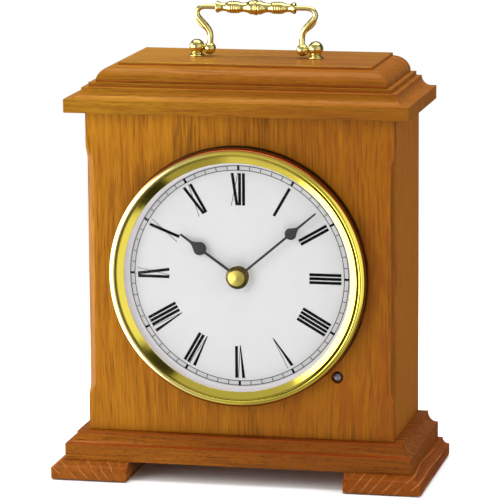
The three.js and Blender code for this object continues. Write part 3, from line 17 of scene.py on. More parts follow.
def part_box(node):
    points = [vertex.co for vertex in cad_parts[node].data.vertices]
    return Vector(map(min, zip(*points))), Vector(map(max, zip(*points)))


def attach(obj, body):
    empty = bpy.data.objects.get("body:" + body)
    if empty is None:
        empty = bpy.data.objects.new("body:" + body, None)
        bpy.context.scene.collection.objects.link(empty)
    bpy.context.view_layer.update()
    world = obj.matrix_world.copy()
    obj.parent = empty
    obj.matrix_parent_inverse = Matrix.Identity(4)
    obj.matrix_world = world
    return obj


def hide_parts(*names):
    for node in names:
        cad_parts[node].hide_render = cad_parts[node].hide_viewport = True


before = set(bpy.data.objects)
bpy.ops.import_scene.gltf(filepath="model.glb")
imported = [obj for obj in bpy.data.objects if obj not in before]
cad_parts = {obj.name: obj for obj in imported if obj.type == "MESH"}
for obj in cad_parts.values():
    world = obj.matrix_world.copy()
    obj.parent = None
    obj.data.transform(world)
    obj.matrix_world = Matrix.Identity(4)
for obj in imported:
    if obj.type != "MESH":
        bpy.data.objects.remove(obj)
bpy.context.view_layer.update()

bl_info = {
    "name": "Mantel Clock Looks",
    "version": (1, 0, 0),
    "blender": (4, 5, 0),
    "location": "3D View > Sidebar > Clock",
    "description": "Makes the finer surfaces and the finishes of an oak mantel clock",
    "category": "Object",
}

MM = 0.001
TURN = 2 * math.pi
STAGE_HEIGHT = 0.15  # metres, about the clock's middle
CAMERA_PLACE = (0.4678, -2.1049, 0.5458)
CAMERA_ANGLES = (12.549, 10.596, -0.394)  # yaw, pitch down and roll, in degrees
CAMERA_LENS, CAMERA_SENSOR = 248.1, 36  # millimetres
LARGE_ROUND, SMALL_ROUND = 240, 48  # segments of the large and the small turned pieces
SIDES = ((-1, "left"), (1, "right"))
NUMERALS = ("I", "II", "III", "IIII", "V", "VI", "VII", "VIII", "IX", "X", "XI", "XII")


def box(node):
    """Lowest and highest corner of a frame node, in millimetres."""
    lo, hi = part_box(node)
    return np.array(lo) / MM, np.array(hi) / MM


def middle(node):
    """Middle of a frame node's box, in millimetres."""
    lo, hi = box(node)
    return (lo + hi) / 2


FRONT = box("front_panel")[0][1]
HALF_WIDTH = box("front_panel")[1][0]
BACK = box("side_panel_left")[1][1]
BEZEL_LO, BEZEL_HI = box("bezel")
DIAL_Z = middle("bezel")[2]
DIAL_CENTRE = (0, FRONT, DIAL_Z)
BEZEL_RADIUS = (BEZEL_HI[0] - BEZEL_LO[0]) / 2
CAP_TOP = box("top_cap")[1][2]
GRIP_END = box("handle_grip")[1][0]
_, HANDLE_Y, GRIP_Z = middle("handle_grip")


def srgb(red, green, blue):
    """Linear colour of an 8-bit screen colour."""
    share = np.array([red, green, blue]) / 255
    return tuple(np.where(share <= 0.04045, share / 12.92, ((share + 0.055) / 1.055) ** 2.4))


# ---------------------------------------------------------------- settings


def length(name, description, value):
    """A length property; value is in millimetres."""
    return FloatProperty(
        name=name, description=description, default=value * MM, min=0, unit="LENGTH", precision=5
    )


def shade(name, description, value):
    """A colour property; value is an 8-bit screen colour."""
    return FloatVectorProperty(
        name=name, description=description, default=srgb(*value), min=0, max=1, subtype="COLOR"
    )


class ClockSizes(bpy.types.PropertyGroup):
    """Sizes of the surfaces that the frame doesn't give."""

    arris: length("Arris", "Rounding of the mouldings' sharp edges", 0.4)
    mitre: length("Mitre", "Rounding where a moulding turns a corner", 0.9)
    panel_edge: length("Panel edge", "Rounding of the case's flat boards", 0.35)
    bead: length("Bead", "Width of the bezel's raised rim", 4.1)
    ring_step: length("Ring step", "Fall of the polished ring towards the dial", 1.4)
    track_inner: length("Track inner", "Radius of the minute track's inner circle", 67.3)
    track_outer: length("Track outer", "Radius of the minute track's outer circle", 70.1)
    track_line: length("Track line", "Width of the minute track's lines", 0.55)
    hour_tick: length("Hour tick", "Width of the ticks at the hours", 1.5)
    numeral_inner: length("Numeral foot", "Radius of the numerals' feet", 45.0)
    numeral_outer: length("Numeral head", "Radius of the numerals' heads", 65.4)
    stroke: length("Stroke", "Width of a numeral's thick stroke", 1.9)
    hairline: length("Hairline", "Width of a numeral's thin stroke", 0.34)
    stroke_pitch: length("Stroke pitch", "Distance between parallel strokes", 2.5)
    print_height: length("Print height", "Height of the print on the dial", 0.06)


class ClockColours(bpy.types.PropertyGroup):
    """Colours of the finishes."""

    oak: shade("Oak", "Light wood of the case", (172, 113, 18))
    oak_dark: shade("Oak bands", "Dark bands of the case's wood", (138, 80, 6))
    oak_red: shade("Oak figure", "Reddish streaks of the case's wood", (120, 57, 10))
    # Painted shade: colour of the thin reddish lines along the mouldings.
    crease_shade: shade("Stain", "Reddish stain that gathers in grooves", (132, 42, 12))
    side: shade("Side oak", "Light wood of the sides", (195, 133, 12))
    cornice: shade("Cornice oak", "Light wood of the cornice and the cap", (151, 105, 17))
    cornice_dark: shade("Cornice bands", "Dark bands of the cornice and the cap", (122, 69, 6))
    base: shade("Base oak", "Light wood of the base", (154, 90, 10))
    base_dark: shade("Base bands", "Dark bands of the base", (112, 56, 5))
    foot: shade("Foot", "Light wood of the feet", (138, 76, 12))
    foot_dark: shade("Foot bands", "Dark bands of the feet", (118, 55, 6))
    plywood: shade("Plywood", "Back panel and door", (176, 128, 74))
    brass: shade("Brass", "Polished brass", (240, 220, 90))
    pale_brass: shade("Pale brass", "Brass of the handle", (220, 204, 130))
    ray: shade("Ray lines", "Pale lines across the feet and the end grain", (196, 132, 70))
    plain_brass: shade("Plain brass", "Hinge and fittings", (214, 178, 96))
    steel: shade("Steel", "Steel parts", (190, 192, 196))
    dial: shade("Dial", "Painted dial", (198, 198, 199))
    print: shade("Print", "Numerals and hour ticks", (10, 10, 11))
    track: shade("Track", "Thin lines of the minute track", (84, 82, 86))
    hand: shade("Hands", "Painted hands", (36, 34, 34))
    white_plastic: shade("White plastic", "Wheels and controls", (222, 221, 214))
    black_plastic: shade("Black plastic", "Movement and insert", (30, 30, 32))
    felt: shade("Felt", "Pads under the feet", (34, 62, 44))
    lens: shade("Lens", "Light sensor", (100, 94, 102))
    floor: shade("Floor", "Floor and backdrop", (250, 250, 250))


# ---------------------------------------------------------------- shapes


def grid_faces(rows, columns, wrap_rows, wrap_columns):
    """Quads between a grid's neighbouring lines; where it wraps, the last line joins the first."""
    i = np.arange(rows if wrap_rows else rows - 1)[:, None]
    j = np.arange(columns if wrap_columns else columns - 1)[None, :]
    below, beside = (i + 1) % rows * columns, (j + 1) % columns
    corners = (i * columns + j, i * columns + beside, below + beside, below + j)
    return np.stack(np.broadcast_arrays(*corners), -1).reshape(-1, 4)


def placed(name, data):
    """A new object in the scene."""
    made = bpy.data.objects.new(name, data)
    bpy.context.scene.collection.objects.link(made)
    return made


def piece(name, sheets, finish, body, stands_for=(), sharp=32):
    """One object from several sheets, each a grid of points, whether its two directions wrap, and
    whether its first and last rows are filled. Doubles are merged and normals turned outwards."""
    points, faces, start = [], [], 0
    for grid, wrap_rows, wrap_columns, filled in sheets:
        rows, columns = grid.shape[:2]
        points.append(grid.reshape(-1, 3))
        faces += (grid_faces(rows, columns, wrap_rows, wrap_columns) + start).tolist()
        if filled:
            faces.append(list(range(start + columns - 1, start - 1, -1)))
            faces.append(list(range(start + (rows - 1) * columns, start + rows * columns)))
        start += rows * columns
    mesh = bpy.data.meshes.new(name)
    mesh.from_pydata(np.concatenate(points) * MM, [], faces)
    work = bmesh.new()
    work.from_mesh(mesh)
    bmesh.ops.remove_doubles(work, verts=work.verts, dist=1e-6)
    bmesh.ops.recalc_face_normals(work, faces=work.faces)
    work.to_mesh(mesh)
    work.free()
    mesh.polygons.foreach_set("use_smooth", np.ones(len(mesh.polygons), bool))
    mesh.set_sharp_from_angle(angle=math.radians(sharp))
    mesh.materials.append(finish)
    made = placed(name, mesh)
    flat = made.modifiers.new("normals", "WEIGHTED_NORMAL")
    flat.keep_sharp = True
    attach(made, body)
    if stands_for:
        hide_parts(*stands_for)
    return made


def arc(cx, cy, rx, ry, start, end, steps):
    """Points of an ellipse from one angle to another, in degrees: centre + (rx cos a, ry sin a)."""
    a = np.radians(np.linspace(start, end, steps + 1))
    return np.stack([cx + rx * np.cos(a), cy + ry * np.sin(a)], -1)


def eased(points, radius, steps=3):
    """Each corner of an open line gives way to a quadratic curve (1-t)^2 a + 2t(1-t) b + t^2 c that
    begins and ends at most radius from it, and never beyond 0.4 of a neighbouring side."""
    p = np.asarray(points, float)
    corner = p[1:-1, None]
    before, after = p[:-2, None] - corner, p[2:, None] - corner
    side_a = np.linalg.norm(before, axis=-1, keepdims=True)
    side_b = np.linalg.norm(after, axis=-1, keepdims=True)
    reach = np.minimum(radius, 0.4 * np.minimum(side_a, side_b))
    t = np.linspace(0, 1, steps + 1)[None, :, None]
    a, c = corner + before / side_a * reach, corner + after / side_b * reach
    line = (1 - t) ** 2 * a + 2 * t * (1 - t) * corner + t**2 * c
    return np.concatenate([p[:1], line.reshape(-1, 2), p[-1:]])


def curve(points, steps):
    """A Catmull-Rom line: a cubic between two points whose slopes are half the chords past them."""
    p = np.asarray(points, float)
    p = np.concatenate([2 * p[:1] - p[1:2], p, 2 * p[-1:] - p[-2:-1]])
    t = np.linspace(0, len(p) - 3, steps)
    i = np.minimum(t.astype(int), len(p) - 4)
    f = (t - i)[:, None]
    a, b, c, d = p[i], p[i + 1], p[i + 2], p[i + 3]
    return b + 0.5 * f * (c - a + f * (2 * a - 5 * b + 4 * c - d + f * (3 * (b - c) + d - a)))


def turned(profile, centre, axis, segments=96, loop=False):
    """A sheet from a profile of (radius, height) turned about an axis: radius (cos a, sin a) across
    it and height along it, which is towards -Y for front, +Z for up and +X for right."""
    r, h = np.asarray(profile, float).T[:, :, None]
    a = np.linspace(0, TURN, segments, endpoint=False)[None, :]
    u, v, w = r * np.cos(a), r * np.sin(a), h + 0 * a
    grid = {"front": (u, -w, v), "up": (u, v, w), "right": (w, u, v)}[axis]
    return np.stack(grid, -1) + np.asarray(centre, float), loop, True, False


def along_line(line, radius, y, sides=20):
    """A round section carried along a line of (x, z) points at depth y: each point plus its radius
    times (cos a across the line, sin a along y)."""
    p = np.asarray(line, float)
    run = np.gradient(p, axis=0)
    run /= np.linalg.norm(run, axis=1, keepdims=True)
    across = np.stack([run[:, 1], -run[:, 0]], -1)[:, None, :]
    a = np.linspace(0, TURN, sides, endpoint=False)[None, :, None]
    r = np.broadcast_to(np.asarray(radius, float), len(p))[:, None, None]
    flat = p[:, None, :] + r * np.cos(a) * across
    depth = y + (r * np.sin(a))[..., 0]
    return np.stack([flat[..., 0], depth, flat[..., 1]], -1), False, True, True


def moulded(profile, bottom, sizes, inner=None):
    """A board whose profile of (distance beyond the case, height) runs round its front and sides
    and stops flush at the back. In plan each height is a rectangle whose front corners are rounded:
    corner centre + r (cos a, sin a). inner is the x of a foot's cut face, which takes the place of
    the corner that is cut off."""
    out, up = np.asarray(profile, float).T
    r = sizes.mitre / MM
    angle = np.radians(np.linspace(180, 270, 6))
    side, face = -(HALF_WIDTH + out)[:, None], (FRONT - out)[:, None]
    rear = np.full((len(out), 1), BACK)
    left_x = np.concatenate([side, side + r * (1 + np.cos(angle))], 1)
    left_y = np.concatenate([rear, face + r * (1 + np.sin(angle))], 1)
    if inner is None:
        right_x, right_y = -left_x[:, ::-1], left_y[:, ::-1]
    else:
        right_x, right_y = np.full((len(out), 2), -abs(inner)), np.concatenate([face, rear], 1)
    x, y = np.concatenate([left_x, right_x], 1), np.concatenate([left_y, right_y], 1)
    if inner is not None and inner > 0:
        x = -x
    z = np.broadcast_to(bottom + up[:, None], x.shape)
    return np.stack([x, y, z], -1), False, True, True


def plate(half_widths, places, height, thickness):
    """A flat bar along +Z from its half width at each place: a rectangle with eased corners,
    (w, h) = (cos a, sin a) pushed out to the superellipse w^6 + h^6 = 1, at each place."""
    a, power = np.linspace(0, TURN, 24, endpoint=False), 6
    push = (np.abs(np.cos(a)) ** power + np.abs(np.sin(a)) ** power) ** (-1 / power)
    w = np.asarray(half_widths)[:, None] * np.cos(a) * push
    h = height + thickness / 2 * np.sin(a) * push
    z = np.asarray(places)[:, None] + 0 * a
    return np.stack([w, np.broadcast_to(-h, w.shape), z], -1), False, True, True


def dial_turn(sheet, clockwise):
    """Turns a sheet drawn upright about the dial's centre, clockwise by some degrees."""
    grid = sheet[0].copy()
    c, s = math.cos(math.radians(clockwise)), math.sin(math.radians(clockwise))
    x, z = grid[..., 0], grid[..., 2]
    grid[..., 0], grid[..., 2] = x * c + z * s, z * c - x * s
    return grid + np.array(DIAL_CENTRE), *sheet[1:]


def bars(starts, ends, widths, height, narrow=1.0):
    """Thin raised bars drawn upright on the dial, one sheet each: from one (x, z) point to another,
    the middle line plus or minus half its width across, which narrow scales at the end point."""
    a, b = np.asarray(starts, float), np.asarray(ends, float)
    run = b - a
    across = np.stack([run[:, 1], -run[:, 0]], -1) / np.linalg.norm(run, axis=1, keepdims=True)
    w = np.asarray(widths, float)[:, None] / 2
    tip = w * np.reshape(narrow, (-1, 1))
    loop = np.stack([a - w * across, a + w * across, b + tip * across, b - tip * across], 1)
    level = np.array([0.0, height])[:, None, None]
    x, z = loop[..., 0], loop[..., 1]
    grids = np.stack(np.broadcast_arrays(x[:, None], -level.reshape(1, 2, 1), z[:, None]), -1)
    return [(grid, False, True, True) for grid in grids]


# ---------------------------------------------------------------- finishes


class Wire:
    """A value on its way through a finish's nodes; arithmetic on it adds Math nodes."""

    def __init__(self, finish, socket):
        self.finish, self.socket = finish, socket

    def math(self, operation, *values):
        return self.finish.node("Math", dict(enumerate(values)), {"operation": operation})

    def __add__(self, other):
        return self.math("ADD", self, other)

    def __sub__(self, other):
        return self.math("SUBTRACT", self, other)

    def __rsub__(self, other):
        return self.math("SUBTRACT", other, self)

    def __mul__(self, other):
        return self.math("MULTIPLY", self, other)

    def __truediv__(self, other):
        return self.math("DIVIDE", self, other)

    __radd__ = __add__
    __rmul__ = __mul__

    def ridges(self, apart):
        """A sine wave from 0 to 1 with its crests that far apart."""
        return self.math("SINE", self * (TURN / apart)) * 0.5 + 0.5


def rgba(colour):
    return (*tuple(colour)[:3], 1.0)


def dimmed(colour, share):
    return tuple(share * c for c in colour)


class Finish:
    """The nodes of a material, or of the world."""

    def __init__(self, name, kind="materials"):
        self.owner = getattr(bpy.data, kind).new(name)
        self.owner.use_nodes = True
        self.tree = self.owner.node_tree
        self.tree.nodes.clear()
        self.place = self.node("TexCoord", output="Object") if kind == "materials" else None

    def node(self, kind, inputs=None, settings=None, output=0):
        """Adds a node with a value or a wire for each input, and its settings. Gives one output."""
        made = self.tree.nodes.new("ShaderNode" + kind)
        for name, value in (settings or {}).items():
            setattr(made, name, value)
        for name, value in (inputs or {}).items():
            if isinstance(value, Wire):
                self.tree.links.new(value.socket, made.inputs[name])
            else:
                made.inputs[name].default_value = value
        return Wire(self, made.outputs[output]) if made.outputs else None

    def scaled(self, vector, sizes):
        """The vector times a number along each axis."""
        return self.node("VectorMath", {0: vector, 1: sizes}, {"operation": "MULTIPLY"})

    def shifted(self, vector, other):
        return self.node("VectorMath", {0: vector, 1: other}, {"operation": "ADD"})

    def noise(self, vector, detail, rough=0.5, output=0):
        inputs = {"Vector": vector, "Scale": 1.0, "Detail": detail, "Roughness": rough}
        return self.node("TexNoise", inputs, output=output)

    def grain(self, sizes, detail=2.0, rough=0.5):
        """Noise with so many cells to the metre: one number, or one for each axis."""
        sizes = np.broadcast_to(np.asarray(sizes, float), 3).tolist()
        return self.noise(self.scaled(self.place, sizes), detail, rough)

    def cells(self, vector, feature="F1", spread=1.0):
        inputs = {"Vector": vector, "Scale": 1.0, "Randomness": spread}
        return self.node("TexVoronoi", inputs, {"feature": feature})

    def step(self, value, start, end):
        """Rises smoothly from 0 at start to 1 at end."""
        inputs = {"Value": value, "From Min": start, "From Max": end}
        return self.node("MapRange", inputs, {"interpolation_type": "SMOOTHSTEP"})

    def mix(self, share, first, second):
        """A colour between two colours."""
        first, second = (c if isinstance(c, Wire) else rgba(c) for c in (first, second))
        return self.node("Mix", {0: share, 6: first, 7: second}, {"data_type": "RGBA"}, 2)

    def axes(self, vector):
        """The three numbers of a vector."""
        split = self.node("SeparateXYZ", {0: vector})
        return [Wire(self, output) for output in split.socket.node.outputs]

    def about(self, height):
        """x and y, and the square of the distance from the axis along Y at that height in mm."""
        x, y, z = self.axes(self.shifted(self.place, (0, 0, -height * MM)))
        return x, y, x * x + z * z

    def shader(self, colour, rough, bump=None, **inputs):
        """Ends the finish with a Principled shader of a colour and a roughness. bump is a height,
        its strength and its depth in metres; other inputs are named with _ for a space."""
        named = {name.replace("_", " "): value for name, value in inputs.items()}
        named |= {"Base Color": colour, "Roughness": rough}
        if bump:
            height, strength, depth = bump
            inputs = {"Height": height, "Strength": strength, "Distance": depth}
            named["Normal"] = self.node("Bump", inputs)
        return self.ends(self.node("BsdfPrincipled", named))

    def ends(self, shader, kind="OutputMaterial"):
        """Takes a shader to the output. Gives the finished material or world."""
        self.node(kind, {"Surface": shader})
        return self.owner


def plain_region(f, x, y, z):
    """How dark, busy, swirled and glossy a place of a plain board is: darker towards the right, a
    painted shade where less light falls.
    """
    return 0.85 * f.step(x, -0.1, 0.06), 0.3, 0.0, 0.04


def oak(
    name, along, hues, light, dark, region=plain_region, figure=1.0, pores=(0.3, 16, 1.0),
    rays=None, mirror=False, grooves=(),
):
    """Lacquered oak, solid all through, from patterns in a frame whose third axis runs along the
    grain: growth bands and streaks drawn out far along it, and fine pores of a strength, a length
    and a spacing in mm. region gives how dark, busy, swirled and glossy each place is; its
    darkness is mostly painted shade and painted light. Past 1.3 the dark deepens to the pores'
    colour, and past 4 to black, which paints a shadow. rays is the strength, slope and spacing
    in mm of pale parallel lines, where the medullary rays cut the surface: only on the returns,
    past the mitre, unless mirror, which gives the left half the right half's pattern turned round.
    grooves are heights just above which a thin reddish line of painted shade lies."""
    f = Finish(name)
    x, y, z = f.axes(f.place)
    dim, busy, swirl, gloss = region(f, x, y, z)
    aside = x.math("ABSOLUTE", x)
    a, b, g = {"X": (y, z, x), "Y": (aside if mirror else x, z, y), "Z": (x, y, z)}[along]
    grain = f.node("CombineXYZ", {0: a, 1: b, 2: g})
    sway = f.noise(f.scaled(grain, (18, 18, 9)), 1.0, output=1)
    p = f.shifted(grain, f.scaled(f.shifted(sway, (-0.5, -0.5, -0.5)), (0.008, 0.008, 0.004)))

    def figured(across, lengthwise, detail, rough=0.5):
        """Noise with so many cells to the metre across the grain and along it."""
        return f.noise(f.scaled(p, (across, across, lengthwise)), detail, rough)

    streaks = figured(330, 9, 3.0, 0.6)
    fibres = figured(1500, 30, 1.0)
    tone = 0.34 * figured(60, 1.6, 3.0, 0.6) + 0.36 * figure * (streaks - 0.5)
    tone = tone + 0.24 * fibres + 0.21
    # The region's painted shade also shifts the bands darker.
    colour = f.mix(f.step(tone + 0.2 * dim, 0.34, 0.66), light, dark)
    dense = f.step(figured(75, 26, 2.0) + 0.36 * busy, 0.42, 0.78)
    line = f.step(figured(680, 26, 1.0, 0.6), 0.51, 0.62) * (0.25 + 0.75 * dense)
    strength, long, wide = pores
    thread = f.step(f.cells(f.scaled(p, (1000 / wide, 1000 / wide, 1000 / long))), 0.42, 0.18)
    pore = tuple(np.multiply(dark, (0.42, 0.34, 0.4)))
    colour = f.mix(0.62 * figure * line + strength * thread, colour, pore)
    # Painted shade: where the region is dark the wood deepens to the pores' colour.
    colour = f.mix(0.8 * f.step(dim, 1.3, 2.5), colour, pore)
    if region is not plain_region:
        # Painted shadow: past 4 the wood goes black.
        colour = f.mix(0.9 * f.step(dim, 4, 5), colour, (0.008, 0.002, 0.001))
        curl = figured(130, 24, 3.0, 0.7)
        colour = f.mix(swirl * f.step(curl, 0.48, 0.6), colour, hues.oak_red)
    mitre = HALF_WIDTH + FRONT
    returns = f.step(aside + y, (mitre - 0.5) * MM, (mitre + 0.5) * MM)
    if rays:
        strength, slope, apart = rays
        turned_grain = f.node("Mapping", {0: p, "Rotation": (0, 0, math.radians(slope))})
        across = f.axes(turned_grain)[0] * (1000 * TURN / apart)
        across = across + 9 * f.noise(f.scaled(turned_grain, (60, 8, 8)), 1.0)
        cut = f.step(across.math("SINE", across), 0.9, 0.99)
        cut = cut * f.step(figured(90, 20, 1.0), 0.36, 0.6)
        if not mirror:
            cut = cut * returns * f.step(z, (CAP_TOP - 0.2) * MM, (CAP_TOP - 0.7) * MM)
            cut = cut * f.step(y, (BACK - 0.3) * MM, (BACK - 0.8) * MM)
        colour = f.mix(strength * cut, colour, hues.ray)
    # Painted shade: a thin reddish line just above each of these heights, none on the returns.
    for height in grooves:
        above = z - height * MM
        crease_line = f.step(above, 0.0, 0.0002) * f.step(above, 0.001, 0.0005)
        colour = f.mix((0.6 - 0.6 * returns) * crease_line, colour, hues.crease_shade)
    rough = 0.36 + 0.12 * line + 0.12 * fibres
    bump = (0.5 * streaks - 0.5 * line - 0.35 * thread, 0.2, 0.00025)
    shine = {"Specular_IOR_Level": 0.2, "Specular_Tint": (1.0, 0.78, 0.36, 1.0)}
    return f.shader(colour, rough, bump, Coat_Weight=gloss, Coat_Roughness=0.08, **shine)


def plywood(name, colour):
    """Birch ply: faint wide figure and fine fibres, with no gloss."""
    f = Finish(name)
    fibres = f.grain((1300, 1300, 40))
    tone = f.step(0.6 * f.grain((60, 60, 5), 4.0, 0.6) + 0.4 * fibres, 0.35, 0.65)
    tint = f.mix(tone, colour, dimmed(colour, 0.72))
    return f.shader(tint, 0.62 + 0.1 * fibres, (fibres, 0.2, 0.0002))


def metal(name, colour, rough, wander=0.02, bare=1.0):
    """Metal, or a share of it: faint clouds in its colour and polish, and a very shallow wave."""
    f = Finish(name)
    clouds = f.grain(55, 3.0, 0.6)
    tint = f.mix(f.step(clouds, 0.3, 0.75), colour, dimmed(colour, 0.85))
    return f.shader(tint, rough + wander * f.grain(900), (clouds, 0.02, 0.002), Metallic=bare)


def plastic(name, colour, rough=0.45, grain=1400, depth=0.12):
    """Moulded plastic: a fine even grain and slight clouds in its colour."""
    f = Finish(name)
    fine = f.grain(grain)
    paler = tuple(min(1.0, 1.18 * c + 0.004) for c in colour)
    tint = f.mix(f.step(f.grain(70), 0.3, 0.7), colour, paler)
    return f.shader(tint, rough + 0.12 * fine, (fine, depth, 0.0002))


def painted(name, colour, rough, gloss=0.3):
    """Paint or ink on a flat sheet: even, with a trace of mottling."""
    f = Finish(name)
    clouds = f.grain(160, 3.0)
    tint = f.mix(f.step(clouds, 0.35, 0.7), colour, dimmed(colour, 0.975))
    bump = (clouds, 0.01, 0.0003)
    return f.shader(tint, rough + 0.08 * clouds, bump, Specular_IOR_Level=gloss)


def felt(name, colour):
    """Pressed wool: short fibres that cross, no gloss."""
    f = Finish(name)
    one, other = (f.grain(sizes, 3.0, 0.7) for sizes in ((2600, 700, 1500), (700, 2600, 1500)))
    tone = f.step(0.5 * one + 0.5 * other, 0.35, 0.65)
    return f.shader(f.mix(tone, colour, dimmed(colour, 1.9)), 0.95, (tone, 0.6, 0.0005))


def clear_glass(name):
    """Thin clear glass: a faint film with a mirror's gloss, a little denser at its rim."""
    f = Finish(name)
    film = 0.025 + 0.03 * f.step(f.about(DIAL_Z)[2], 0.004, 0.0056)
    return f.shader((0.02, 0.025, 0.022, 1), 0.03, Alpha=film, Specular_IOR_Level=1.0)


def wound_copper(name):
    """Lacquered wire wound round a coil: fine ridges along X."""
    f = Finish(name)
    ridge = f.axes(f.place)[0].ridges(0.0003)
    colour = f.mix(ridge, srgb(150, 70, 34), srgb(214, 122, 66))
    return f.shader(colour, 0.3, (ridge, 0.4, 0.0001), Metallic=0.8)


def circuit(name):
    """Solder mask over copper tracks: a square-cornered cell pattern shows paler through green."""
    f = Finish(name)
    cell = f.cells(f.scaled(f.place, (420, 420, 420)), "DISTANCE_TO_EDGE", 0.75)
    track = f.step(cell, 0.12, 0.06)
    return f.shader(f.mix(track, srgb(24, 84, 46), srgb(52, 128, 74)), 0.4, (track, 0.3, 0.0001))


def cell_wrap(name, base, band):
    """A printed film sleeve: a coloured band round one third of the cell, the rest dark."""
    f = Finish(name)
    colour = f.mix(f.step(f.axes(f.place)[0], 0.0079, 0.0081), base, band)
    return f.shader(colour, 0.3 + 0.08 * f.grain(500), Metallic=0.3, Coat_Weight=0.3)


def cone_paper(name):
    """Pressed paper pulp with concentric ribs about the speaker's axis."""
    f = Finish(name)
    square = f.about(middle("speaker_cone")[2])[2]
    rib = square.math("SQRT", square).ridges(0.0022)
    tone = f.step(0.6 * rib + 0.4 * f.grain(1200, 3.0, 0.7), 0.2, 0.8)
    return f.shader(f.mix(tone, srgb(26, 26, 27), srgb(52, 51, 50)), 0.9, (tone, 0.5, 0.0004))


def paint_nodes(finish, *nodes):
    """Gives frame nodes a finish; their meshes stay as they are."""
    for name in nodes:
        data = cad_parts[name].data
        data.materials.clear()
        data.materials.append(finish)


# ---------------------------------------------------------------- operators


class CLOCK_OT_case_panels(bpy.types.Operator):
    """Front and side boards: the frame's own solids with eased edges, in upright oak."""

    bl_idname = "clock.case_panels"
    bl_label = "Case panels"

    def execute(self, context):
        sizes, hues = context.scene.clock_sizes, context.scene.clock_colours

        def front_region(f, x, y, z):
            """Painted shade that darkens it towards the right, where less light falls, and painted
            light that makes it paler near the top, against the cornice's shadow; red swirls beside
            and below the bezel, and a darker red flame right of it; painted shade along the middle
            of the right chamfer, with painted highlights on its edges; and a black line of painted
            shadow where the bezel meets the wood."""
            right, top = f.step(x, -0.09, 0.1), f.step(z, 0.19, 0.232)
            corner = f.step(z, 0.09, 0.05) * f.step(x, -0.01, 0.05)
            flame = f.step(x, 0.05, 0.08) * f.step(z, 0.178, 0.145) * f.step(z, 0.06, 0.1)
            swirl = 0.35 * corner + 0.4 * top * f.step(x, 0.03, 0.07) + 0.3 * f.step(x, 0.02, 0.06)
            # Painted shade along the middle of the right chamfer, and painted highlights on its
            # edges.
            depth = y - FRONT * MM
            chamfer = f.step(x, 0.05, 0.06) * f.step(depth, 0.0001, 0.0004)
            chamfer_shade = f.step(depth, 0.0017, 0.0028) * f.step(depth, 0.0045, 0.0040)
            # Painted shadow: a black line where the bezel meets the wood.
            inside, outside = ((BEZEL_RADIUS + d) * MM for d in (0.4, 0.9))
            rim = f.step(f.about(DIAL_Z)[2], outside**2, inside**2)
            # Painted light and shade: right darkens the panel towards the right, top makes it paler
            # under the cornice.
            dim = 0.2 + 1.05 * right - 0.4 * top + chamfer * (2.6 * chamfer_shade - 0.4) + 6 * rim
            dim = dim + 0.35 * flame * (1 - chamfer)
            return dim, 0.1 + 0.35 * right + 0.25 * top, swirl + 0.3 * flame, 0.03

        front = oak("oak_front", "Z", hues, hues.oak, hues.oak_dark, front_region)
        side = oak(
            "oak_side", "Z", hues, hues.side, hues.oak_dark, figure=0.3, pores=(0.12, 16, 1.0)
        )
        paint_nodes(front, "front_panel")
        paint_nodes(side, "side_panel_left", "side_panel_right")
        for name in ("front_panel", "side_panel_left", "side_panel_right"):
            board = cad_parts[name]
            weld = board.modifiers.new("weld", "WELD")
            weld.merge_threshold = 1e-6
            bevel = board.modifiers.new("edge", "BEVEL")
            bevel.width = sizes.panel_edge
            bevel.segments = 2
            bevel.limit_method = "ANGLE"
            bevel.angle_limit = math.radians(35)
            bevel.harden_normals = True
        return {"FINISHED"}


